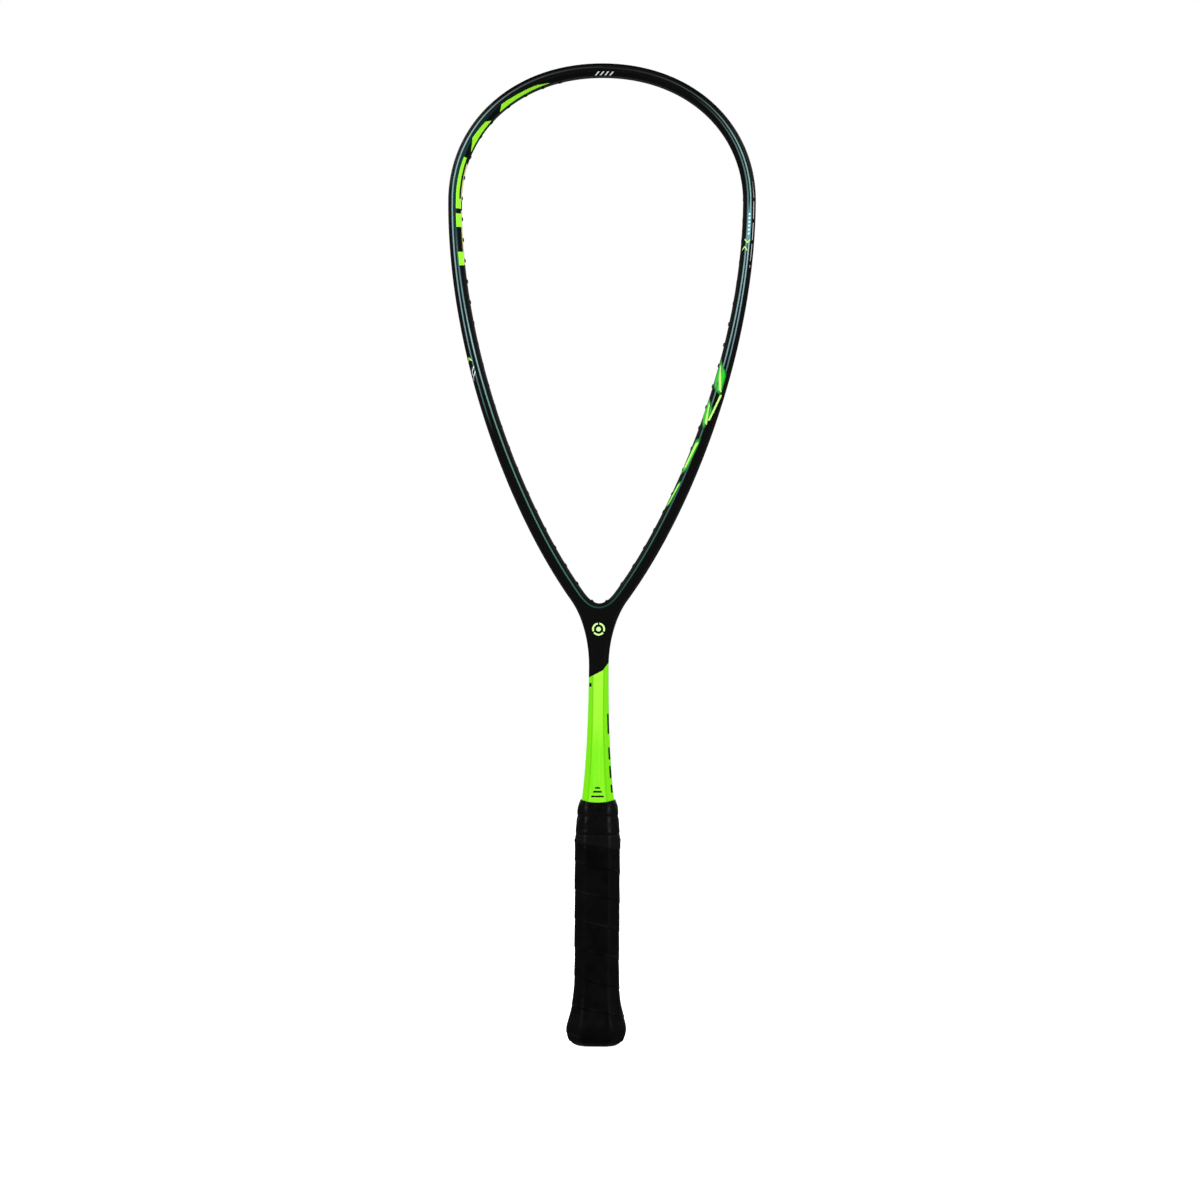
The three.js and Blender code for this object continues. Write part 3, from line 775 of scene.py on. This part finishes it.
def bore(s, side):
    tip = barrel_tip(s, side)
    mouth = [(tip - 0.25, BORE_R), (tip + 0.1, BORE_R + 0.3), (tip + 1, BORE_R + 0.3)]
    return lathe(s, side, [(-1, BORE_R)] + mouth)


def plain_object(name, parts):
    made = mesh_object(name, *join_parts(parts))
    settle(made)
    return made


def combine(target, other, operation):
    """Applies a boolean of `other` to `target`, and removes `other`."""
    modifier = target.modifiers.new("combine", "BOOLEAN")
    modifier.operation, modifier.solver, modifier.object = operation, "EXACT", other
    evaluated = target.evaluated_get(bpy.context.evaluated_depsgraph_get())
    mesh = bpy.data.meshes.new_from_object(evaluated)
    target.modifiers.clear()
    old, target.data = target.data, mesh
    bpy.data.meshes.remove(old)
    bpy.data.objects.remove(other)


def with_barrels(name, base, sites, material, node):
    """A moulding with a barrel at each (s, side), bored right through."""
    piece = plain_object(name, [base])
    combine(piece, plain_object("barrels", [barrel(*site) for site in sites]), "UNION")
    combine(piece, plain_object("bores", [bore(*site) for site in sites]), "DIFFERENCE")
    piece.data.materials.clear()
    piece.data.materials.append(material)
    piece.data.polygons.foreach_set("material_index", [0] * len(piece.data.polygons))
    settle(piece)
    return enrol(piece, [node])


def swept(run, half):
    """A strip along each (s, side) of the run, from the front half of its (depth, height) profile."""
    profile = half + [(depth, -v) for depth, v in reversed(half)]
    rings = []
    for s, side in run:
        at = station(s)
        rings.append([Vector((p.x * side, p.y, p.z)) for p in (from_outer(at, *q) for q in profile)])
    return loft_parts(rings)


def bumper_guard(material):
    outer_half = HOOP_HALF_DEPTH - BEVEL_DROP
    depth = GROOVE_DEPTH - FIT_GAP
    inner_half = outer_half + BEVEL_DROP * depth / HOOP_OUTER_BEVEL
    half = [(0.45, 0.9), (0.42, 1.4), (0.1, 1.9), (0, 2.4), (0, outer_half - 0.9), (0.06, outer_half - 0.4)]
    half += [(0.3, outer_half + 0.25), (depth - 0.15, inner_half - 0.2), (depth, inner_half - 0.45)]
    end = BUMPER_END_S - BUMPER_GAP_S
    run = spaced(0, end, 84) + [end]
    sweep = [(s, -1) for s in reversed(run[1:])] + [(s, 1) for s in run]
    sites = [(s, side) for side in SIDES for s in HOLES if s < end]
    return with_barrels("bumper_guard_moulding", swept(sweep, half), sites, material, "bumper_guard")


def grommet_strip(side, hand, material):
    bottom = GROOVE_DEPTH - FIT_GAP
    top = bottom - STRIP_THICK
    half = [(top, STRIP_HALF - 0.35), (top + 0.1, STRIP_HALF - 0.08), (top + 0.35, STRIP_HALF)]
    run = spaced(STRIP_START_S, STRIP_END_S, 60) + [STRIP_END_S]
    base = swept([(s, side) for s in run], half + [(bottom, STRIP_HALF)])
    sites = [(s, side) for s in HOLES if STRIP_START_S < s < STRIP_END_S]
    return with_barrels(f"side_strip_{hand}", base, sites, material, f"grommet_strip_{hand}")


def single_grommet(s, side, hand, number, material):
    flange = [(FIT_GAP, STRIP_HALF - 0.5), (FIT_GAP + 0.08, STRIP_HALF - 0.15)]
    flange += [(FIT_GAP + 0.3, STRIP_HALF), (GROOVE_DEPTH - FIT_GAP, STRIP_HALF)]
    node = f"throat_grommet_{hand}_{number}"
    return with_barrels(f"single_{node}", lathe(s, side, flange, 28), [(s, side)], material, node)


# ---------------- printed marks

PRINT_LIFT, PRINT_SINK = 0.06, -0.25
FLAT_SINK = -0.3
BOTH = (False, True)


def height_to_s(z):
    """Where down the half frame the middle of the tube has this height."""
    return find_s(0.02, 3.0, lambda at: (at.outer.y + (at.inner or at.outer).y) / 2 < z)


def slab(rows, columns, lift, place):
    """A thin closed slab of rows by columns quads. place(u, v, height) gives the point at u across and
    v down, both from 0 to 1, that far off the surface."""
    vertices = []
    for height in (lift, PRINT_SINK):
        for r in range(rows + 1):
            vertices += [place(k / columns, r / rows, height) for k in range(columns + 1)]
    width, size = columns + 1, len(vertices) // 2
    faces = grid_faces(rows + 1, width) + grid_faces(rows + 1, width, start=size)
    rim = list(range(width)) + [r * width + columns for r in range(1, rows + 1)]
    rim += [rows * width + c for c in reversed(range(columns))]
    rim += [r * width for r in reversed(range(1, rows))]
    faces += [(a, b, b + size, a + size) for a, b in zip(rim, rim[1:] + rim[:1])]
    return vertices, faces


def unfaded(part):
    return [part], [1.0] * len(part[0])


def patch(side, corners, rows, columns, backs=(False,), lift=PRINT_LIFT):
    """A print on the hoop or throat. Corners are (z, q): upper outer and inner, lower inner and outer."""
    a, b, c, d = [Vector((height_to_s(z), q)) for z, q in corners]
    parts, rims = [], []
    for back in backs:

        def place(u, v, height):
            at = a.lerp(b, u).lerp(d.lerp(c, u), v)
            return skin_lifted(at.x, at.y, height, side, back)

        parts.append(slab(rows, columns, lift, place))
        across = [min(1.0, 4 * k * (columns - k) / columns**2) for k in range(columns + 1)]
        down = [min(1.0, 6 * r * (rows - r) / rows**2) for r in range(rows + 1)]
        rims += [i * j for j in down for i in across] * 2
    return parts, rims


def printed(name, material, patches):
    parts = [part for group, _ in patches for part in group]
    rims = [value for _, group in patches for value in group]
    vertices, faces = join_parts(parts)
    return make_object(name, vertices, faces, material, attributes={"rim": rims})


def flat_print(name, outlines, material):
    """Flat marks on the shaft's front and back panels: each outline is a loop of (x, z) in mm."""
    depths = (SHAFT_HALF_DEPTH + PRINT_LIFT, SHAFT_HALF_DEPTH + FLAT_SINK)
    marks = []
    for face in (-1, 1):
        for outline in outlines:
            rings = [[Vector((-face * x, face * depth, z)) for x, z in outline] for depth in depths]
            marks.append(unfaded(loft_parts(rings)))
    printed(name, material, marks)


def arc_band(x, z, inside, outside, start, end, steps=16):
    """A closed outline of part of a ring, between two angles in degrees."""
    angles = [math.radians(lerp(start, end, i / steps)) for i in range(steps + 1)]
    outer = [(x + outside * math.cos(a), z + outside * math.sin(a)) for a in angles]
    inner = [(x + inside * math.cos(a), z + inside * math.sin(a)) for a in reversed(angles)]
    return outer + inner


def crown_bar(low, high, width):
    """A slash across the crown: (x, mm in from the outer edge) at its lower and upper end."""

    def place(u, v, height):
        depth = lerp(low[1], high[1], v)
        drop = max(0.0, depth - (HOOP_WIDTH - INNER_BEVEL)) * BEVEL_DROP / INNER_BEVEL
        x = lerp(low[0], high[0], v) + width * (u - 0.5)
        s = find_s(0, 0.3, lambda at: from_outer(at, depth, 0).x > abs(x))
        p = from_outer(station(s), depth, HOOP_HALF_DEPTH - drop + height)
        return Vector((math.copysign(p.x, x), p.y, p.z))

    return unfaded(slab(6, 3, PRINT_LIFT, place))


def shaft_patch(side, top, bottom, q_low, q_high):
    """A block on the shaft's side wall or chamfer between two heights."""

    def place(u, v, height):
        z = lerp(top, bottom, v)
        s = find_s(4, 5, lambda at: at.outer.y < z)
        return skin_lifted(s, lerp(q_low, q_high, u), height, side)

    return unfaded(slab(8, 24, PRINT_LIFT, place))


# Corners are (z, q), in patch's order.
GREEN_BLOCKS = [
    [(672.5, 2.25), (675.8, 2.9), (655.0, 3.0), (657.5, 1.95)],
    [(646, 2.1), (648.5, 3.02), (625.5, 3.04), (633.5, 1.9)],
    [(620.5, 1.95), (620.5, 2.62), (591, 2.62), (591, 1.9)],
    [(591, 1.9), (591, 3.08), (584, 3.08), (584, 1.9)],
    [(580.5, 1.9), (580.5, 3.08), (571, 3.08), (571, 1.9)],
    [(553.5, 1.9), (553.5, 3.08), (544, 3.08), (544, 1.9)],
]
PALE_WALLS = [(617, 590), (583, 545)]
GLOWS = [
    [(470, 1.05), (480.5, 3.05), (460, 3.05), (454, 1.05)],
    [(445, 1.5), (452.5, 3.05), (437, 3.05), (429, 1.8)],
    [(425, 1.7), (422, 2.7), (396.5, 3.05), (401, 1.95)],
    [(394, 1.95), (392.5, 2.6), (373, 3.05), (377, 2.25)],
]
CORES = [
    [(473, 2.2), (474.5, 2.6), (458.5, 1.6), (457, 1.15)],
    [(446.5, 2.2), (448, 2.6), (434.5, 2.0), (433.5, 1.65)],
    [(455.5, 0.98), (455, 1.25), (436.5, 1.75), (437, 1.5)],
    [(421, 1.85), (419.5, 2.35), (401, 2.95), (403.5, 2.35)],
    [(391.5, 2.1), (391, 2.35), (375.5, 2.85), (377, 2.6)],
]
# Each chevron: (side, z, q, which way it points: 1 up, -1 down).
CHEVRONS = [(1, 560.8, 1.6, -1), (1, 557.8, 1.98, 1), (-1, 480.5, 0.75, 1)]
CHEVRON_HALF, CHEVRON_RISE, CHEVRON_LINE = 0.48, 2.2, 0.6
CROWN_SLASH_X = (-3.7, -0.4, 2.9, 6.2)
# Each slash on the left leg: (z of its top, how far it falls).
LEG_SLASHES = [(474.6, 6.4), (470.8, 6.2)]
DASH_Z, DASH_PITCH, DASHES = 566.5, 2.7, 6
# Each block: (top, bottom, the q it starts at).
SIDE_BLOCKS = [(232, 218, -1.0), (208.5, 200, -1.0), (195.5, 187, -0.7), (182.5, 177, -0.7)]
# Each bar at the foot of the shaft: (z of its foot, half its length).
SHAFT_BARS = [(173.8, 4.6), (177.1, 3.3), (179.8, 2.0)]
BAR_HIGH, BAR_SLANT = 1.2, 0.6
EMBLEM_Z = 291


def chevron(side, z, q, point):
    arms = []
    for hand in SIDES:
        far, rise = q + hand * CHEVRON_HALF, -point * CHEVRON_RISE
        upper, lower = z + CHEVRON_LINE, z - CHEVRON_LINE
        arms.append([(upper, q), (upper + rise, far), (lower + rise, far), (lower, q)])
    return [patch(side, corners, 4, 4, BOTH, 0.09) for corners in arms]


def print_marks(inks):
    # Blocks of green on the inner bevel of the left side, and pale strips on its inner wall
    printed("green_blocks", inks["green"], [patch(-1, block, 40, 14, BOTH) for block in GREEN_BLOCKS])
    pale = [[(top, 3.1), (top, 3.98), (bottom, 3.98), (bottom, 3.1)] for top, bottom in PALE_WALLS]
    printed("pale_inner_wall", inks["cream"], [patch(-1, corners, 24, 6, BOTH) for corners in pale])

    # Plain bars down the right side: a glow of green under a core of lime
    printed("green_bars", inks["glow"], [patch(1, corners, 24, 10, BOTH, 0.04) for corners in GLOWS])
    lime = [patch(1, core, 16, 4, BOTH, 0.1) for core in CORES]
    for mark in CHEVRONS:
        lime += chevron(*mark)
    printed("lime_marks", inks["lime"], lime)

    # Plain slashes: four on the crown, two on the left leg, and a row of dashes on the right
    marks = [crown_bar((x - 1.2, 8.6), (x + 1.2, 6.2), 1.05) for x in CROWN_SLASH_X]
    for z, fall in LEG_SLASHES:
        marks.append(patch(-1, [(z, 1.3), (z - 1, 1.3), (z - fall, 0.45), (z - fall + 1, 0.45)], 6, 4))
    for z in [DASH_Z + DASH_PITCH * i for i in range(DASHES)]:
        marks.append(patch(1, [(z + 1.5, 1.3), (z + 1.2, 1.62), (z, 1.62), (z + 0.3, 1.3)], 4, 4))
    printed("white_marks", inks["white"], marks)

    # Dark blocks on the right side wall of the shaft, and a dot on the left chamfer
    blocks = [shaft_patch(1, top, bottom, q, 0.25) for top, bottom, q in SIDE_BLOCKS]
    printed("dark_blocks", inks["dark"], blocks + [shaft_patch(-1, 253.4, 250.8, 0.1, 0.75)])
    bars = []
    for foot, half in SHAFT_BARS:
        top, short = foot + BAR_HIGH, half - BAR_SLANT
        bars.append([(-half, foot), (half, foot), (short, top), (-short, top)])
    flat_print("shaft_mark", bars, inks["dark"])
    ring = [arc_band(0, EMBLEM_Z, 3.3, 4.5, start + 8, start + 112) for start in (90, 210, 330)]
    dot = arc_band(0, EMBLEM_Z, 0.01, 1.6, 0, 359.9, 24)
    flat_print("throat_emblem", ring + [dot], inks["pale_lime"])


# ---------------- the handle

ARC_STEPS, LONG_STEPS, SHORT_STEPS = 4, 16, 7


def octagon_ring(offset, z, radius=2.0):
    """Points round the handle's octagon, grown by `offset`, with its corners rounded."""
    a = HANDLE_TOP[0] + offset - radius
    b = SHAFT_HALF_DEPTH + offset - radius
    cut = HANDLE_BEVEL + (2 - math.sqrt(2)) * (offset - radius)
    corners = [(a, b - cut), (a - cut, b), (cut - a, b), (-a, b - cut)]
    corners += [(-x, -y) for x, y in corners]
    points = []
    for i, (x, y) in enumerate(corners):
        for k in range(ARC_STEPS + 1):
            turn = math.radians(45 * (i + k / ARC_STEPS))
            points.append(Vector((x + radius * math.cos(turn), y + radius * math.sin(turn), z)))
        turn = math.radians(45 * (i + 1))
        push = Vector((math.cos(turn), math.sin(turn))) * radius
        before, after = Vector((x, y)) + push, Vector(corners[(i + 1) % 8]) + push
        steps = LONG_STEPS if i in (1, 5) else SHORT_STEPS
        points += [before.lerp(after, k / steps).to_3d() + Vector((0, 0, z)) for k in range(1, steps)]
    return points


def around(p):
    """How far round the handle a point is: 0 at +X, 0.25 at +Y, 0.5 at -X and 0.75 at -Y, the front."""
    return (math.atan2(p.y, p.x) / math.tau) % 1.0


def push_out(p, amount):
    flat = Vector((p.x, p.y, 0)).normalized() * amount
    return p + flat


# Levels of the handle's pieces: (z, offset from the shaft's octagon) in mm.
WRAP_LOW, WRAP_HIGH = 3.2, 146.0
WRAP_OUTSIDE = [
    (3.2, 6.6), (3.9, 7.3), (5.2, 8.0), (7.5, 8.75), (10, 9.1), (12.5, 9.15), (15, 8.85), (18, 8.05),
    (21.5, 7.05), (25, 6.15), (29, 5.4), (34, 4.75), (42, 4.1), (60, 3.8), (80, 3.95), (120, 4.05),
    (138, 4.1), (146, 2.85),
]
WRAP_INSIDE = [(4, 6.72), (7, 7.42), (12, 7.62), (18, 6.5), (25, 4.6), (35, 2.6), (36, 2.32), (145.5, 2.32)]
TAPE = [
    (139.6, 4.16), (140.0, 4.42), (141.5, 4.38), (144, 4.1), (146.6, 3.8), (147.7, 3.5),
    (148.3, 2.85), (152, 2.75), (152.4, 2.36), (146.8, 2.34), (145.4, 3.12), (141, 3.9),
]
COLLAR = [
    (148.0, 3.4), (148.15, 3.62), (149.6, 3.68), (151.6, 3.45), (154.4, 3.2), (156.4, 3.12), (158.6, 2.86),
    (160.4, 2.42), (162.0, 2.7), (163.6, 2.62), (165.5, 2.42), (167.2, 2.1), (168.4, 1.8), (169.6, 1.4),
    (170.6, 0.95), (171.3, 0.66), (171.7, 0.5), (171.4, 0.3), (160.5, 0.5), (157.6, 2.3), (153, 3.02),
    (148.4, 3.05),
]
CAP = [
    (0.0, -2.2), (0.0, 0.1), (0.35, 1.7), (1.0, 3.1), (1.8, 4.5), (2.8, 5.65), (4, 6.35), (7, 7.05),
    (12, 7.25), (18, 6.15), (25, 4.25), (34, 3.25), (34.4, 2.35), (3.2, 2.35), (3.0, -5.4), (1.95, -5.5),
    (1.9, -3.2), (0.3, -3.15),
]
PLUG = [(0.25, -5.6), (0.25, -5.0), (0.02, -4.85), (0.02, -4.0), (0.12, -3.7), (0.4, -3.52), (1.6, -3.5)]
WRAP_PITCH = 20.0
SEAM_HEIGHT = 144.6
# Of one turn's pitch: the rise over the turn below, the groove beside it, and the band of painted highlight
# just above the seam.
SEAM_RISE, GROOVE_SPREAD, HIGHLIGHT_PLACE, HIGHLIGHT_SPREAD = 0.045, 0.018, 0.05, 0.03
SEAM_STEP, SEAM_CUT, DENT, CRINKLE = 0.4, 0.14, 0.16, 0.04


def seam_phase(z, turn):
    return ((z - SEAM_HEIGHT + WRAP_PITCH * (turn - 0.75)) / WRAP_PITCH) % 1.0


def bell(x, spread):
    return math.exp(-((x / spread) ** 2))


def grip_wrap(material):
    """The grip's strip, wound up the handle: each turn's lower edge lies over the turn below."""
    rows, seams, edges, heights = [], [], [], []
    z = WRAP_LOW
    while z < WRAP_HIGH:
        heights.append(z)
        z += 0.35 if z < 8 else 0.5
    for z in heights + [WRAP_HIGH]:
        fade = ease((z - 4) / 6) * ease((WRAP_HIGH - z) / 5)
        row = []
        for p in octagon_ring(track(WRAP_OUTSIDE, z), z, lerp(4.2, 6.5, ease((22 - z) / 14))):
            phase = seam_phase(z, around(p))
            edge = ease(phase / SEAM_RISE) * (1 - 0.85 * phase)
            groove = bell(phase, GROOVE_SPREAD) + bell(1 - phase, GROOVE_SPREAD)
            dents = noise.noise(Vector((p.x * 0.16, p.y * 0.16, z * 0.11 + around(p) * 3.0)))
            crinkle = noise.noise(Vector((p.x * 0.5, p.y * 0.5, z * 0.9)))
            lift = SEAM_STEP * (edge - 0.5) - SEAM_CUT * groove + DENT * dents + CRINKLE * crinkle
            row.append(push_out(p, fade * lift))
            seams.append(min(1.0, groove) * fade)
            # Where the painted highlight lies: a soft band just above each seam.
            edges.append(fade * bell(phase - HIGHLIGHT_PLACE, HIGHLIGHT_SPREAD))
        rows.append(row)
    for z, offset in reversed(WRAP_INSIDE):
        rows.append(octagon_ring(offset, z))
        seams += [0.0] * len(row)
        edges += [0.0] * len(row)
    vertices, faces = loft_parts(rows, capped=False)
    marks = {"seam": seams, "edge": edges}
    return make_object("grip_wrap_strip", vertices, faces, material, ["grip_wrap"], marks, 50)


LEVEL_STEPS = 3


def turned(name, levels, material, replaces, radius, shape=None, sharp=45):
    """A hollow piece from (z, offset) levels that go up its outside and back down its inside."""
    rows = []
    for (z0, o0), (z1, o1) in zip(levels, levels[1:] + levels[:1]):
        for k in range(LEVEL_STEPS):
            t = k / LEVEL_STEPS
            ring = octagon_ring(lerp(o0, o1, t), lerp(z0, z1, t), radius)
            rows.append([shape(p) if shape else p for p in ring])
    vertices, faces = loft_parts(rows, capped=False)
    return make_object(name, vertices, faces, material, replaces, sharp=sharp)


def tape_shape(p):
    """The tape was wound on a slant, so its edge falls from left to right across the front."""
    slant = -2.4 * (p.x / 15) * (1 if p.y < 0 else -1) * ease((146 - p.z) / 5)
    ripple = 0.07 * noise.noise(Vector((p.x * 0.35, p.y * 0.35, p.z * 0.5)))
    return push_out(p, ripple) + Vector((0, 0, slant))


def collar_shape(p):
    """The lip dips at the middle of the broad sides, and the rubber creases where it is stretched."""
    flat = min(1.0, abs(p.y) / 11.0) ** 2 * max(0.0, 1 - (p.x / 12) ** 2)
    dip = -1.7 * flat * ease((p.z - 163) / 8)
    dents = 0.3 * noise.noise(Vector((p.x * 0.22, p.y * 0.22, p.z * 0.22)))
    folds = 0.08 * noise.noise(Vector((p.x * 0.12 + 7, p.y * 0.12, p.z * 0.9)))
    calm = ease((171.2 - p.z) / 3) * ease((p.z - 148.2) / 2)
    return push_out(p, (dents + folds) * calm) + Vector((0, 0, dip))


def handle_pieces(paints):
    grip_wrap(paints["grip"])
    turned("finishing_tape_band", TAPE, paints["tape"], ["finishing_tape"], 4.2, tape_shape)
    turned("collar_sleeve", COLLAR, paints["collar"], ["grip_collar"], 5.5, collar_shape)
    turned("butt_cap_moulding", CAP, paints["cap"], ["butt_cap"], 1.2, sharp=40)
    vertices, faces = loft_parts([octagon_ring(offset, z, 0.35) for z, offset in PLUG])
    make_object("butt_plug_disc", vertices, faces, paints["cap"], ["butt_plug"])


# ---------------- the scene

CAMERA_LENS, SENSOR = 120.0, 36.0
PICTURE_WIDTH = 0.8393
AIM = Vector((0.0005, 0, cad_high.z * 0.4538))
AZIMUTH, ROLL = math.radians(2.0), math.radians(0.4)
LIGHT_SIZE = 1.6
# Each light: (place in metres, watts).
LIGHTS = {
    "key_left": ((-2.3, -2.1, 1.8), 108),
    "fill_right": ((2.5, -1.9, 1.2), 88),
    "back_left": ((-2.3, 2.1, 1.7), 30),
    "back_right": ((2.3, 2.1, 1.7), 30),
    "overhead": ((0, 0, 2.8), 16),
}
WORLD_LIGHT, WORLD_SEEN = 0.08, 1.0
FLOOR_REACH, FLOOR_SIDES, FLOOR_Z = 3.4, 96, -0.0005


def facing(direction):
    return direction.to_track_quat("-Z", "Y").to_euler()


def add_camera():
    data = bpy.data.cameras.new("camera")
    data.lens, data.sensor_width = CAMERA_LENS, SENSOR
    camera = link("camera", data)
    back = Vector((math.sin(AZIMUTH), -math.cos(AZIMUTH), 0))
    camera.location = AIM + back * (PICTURE_WIDTH * CAMERA_LENS / SENSOR)
    camera.rotation_euler = facing(-back)
    camera.rotation_euler.rotate_axis("Z", ROLL)
    bpy.context.scene.camera = camera


def add_light(name, place, power):
    data = bpy.data.lights.new(name, "AREA")
    data.shape, data.size, data.energy = "SQUARE", LIGHT_SIZE, power
    light = link(name, data)
    light.location = place
    light.rotation_euler = facing(AIM - Vector(place))


def add_studio():
    for name, (place, power) in LIGHTS.items():
        add_light(name, place, power)

    world = bpy.data.worlds.new("studio")
    bpy.context.scene.world = world
    world.use_nodes = True
    tree = world.node_tree
    background = tree.nodes["Background"]
    background.inputs["Color"].default_value = (1, 1, 1, 1)
    camera_ray = tree.nodes.new("ShaderNodeLightPath").outputs["Is Camera Ray"]
    strength = tree.nodes.new("ShaderNodeMapRange")
    strength.inputs["To Min"].default_value = WORLD_LIGHT
    strength.inputs["To Max"].default_value = WORLD_SEEN
    tree.links.new(camera_ray, strength.inputs["Value"])
    tree.links.new(strength.outputs[0], background.inputs["Strength"])
    bpy.context.scene.view_settings.view_transform = "Standard"

    mesh = bpy.data.meshes.new("floor")
    turns = [math.tau * i / FLOOR_SIDES for i in range(FLOOR_SIDES)]
    ring = [(FLOOR_REACH * math.cos(turn), FLOOR_REACH * math.sin(turn), FLOOR_Z) for turn in turns]
    mesh.from_pydata(ring, [], [tuple(range(FLOOR_SIDES))])
    mesh.materials.append(floor_paint())
    link("floor", mesh)


# ---------------- assembly

add_camera()
add_studio()
nylon = nylon_paint()
paints = {
    "grip": grip_paint(),
    "tape": tape_paint(),
    "collar": rubber_paint("collar_rubber", "030303", "070707", 0.34, 0.46, shine=0.06),
    "cap": rubber_paint("cap_plastic", "030303", "080808", 0.4, 0.55, 2.2),
}
frame_shell(lacquer_paint())
bumper_guard(nylon)
for side, hand in ((-1, "left"), (1, "right")):
    grommet_strip(side, hand, nylon)
    for number, s in enumerate(HOLES[-SINGLE_GROMMETS:], 1):
        single_grommet(s, side, hand, number, nylon)
INKS = {
    "pale_lime": ("c4f08c", "d4fba4"),
    "green": ("98f42a", "a6fa38"),
    "cream": ("dcdf90", "e8ebac"),
    "lime": ("b4ee62", "c8f98a"),
    "white": ("f0f7f6", "fafdfc"),
    "dark": ("050f08", "0a180e"),
    "glow": ("1eaa26", "34d430", "04160a"),
}
print_marks({name: print_paint(f"print_{name}", *colours) for name, colours in INKS.items()})
handle_pieces(paints)

CARRIED_OVER = {
    "throat_foam_core": foam_paint("core_foam", "cfcabb", "e6e2d6", 1.2),
    "shaft_end_plug": foam_paint("plug_foam", "cbc7ba", "e2ded2", 1.4),
    "handle_pallet_front": foam_paint("pallet_foam", "7f7a66", "a19b86", 1.8),
    "balance_weight": rubber_paint("weight_rubber", "3f4245", "55595c", 0.7, 0.85),
    "butt_staple_front": wire_paint(),
}
CARRIED_OVER["handle_pallet_back"] = CARRIED_OVER["handle_pallet_front"]
CARRIED_OVER["butt_staple_back"] = CARRIED_OVER["butt_staple_front"]
for name, material in CARRIED_OVER.items():
    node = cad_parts[name]
    node.data.materials.clear()
    node.data.materials.append(material)
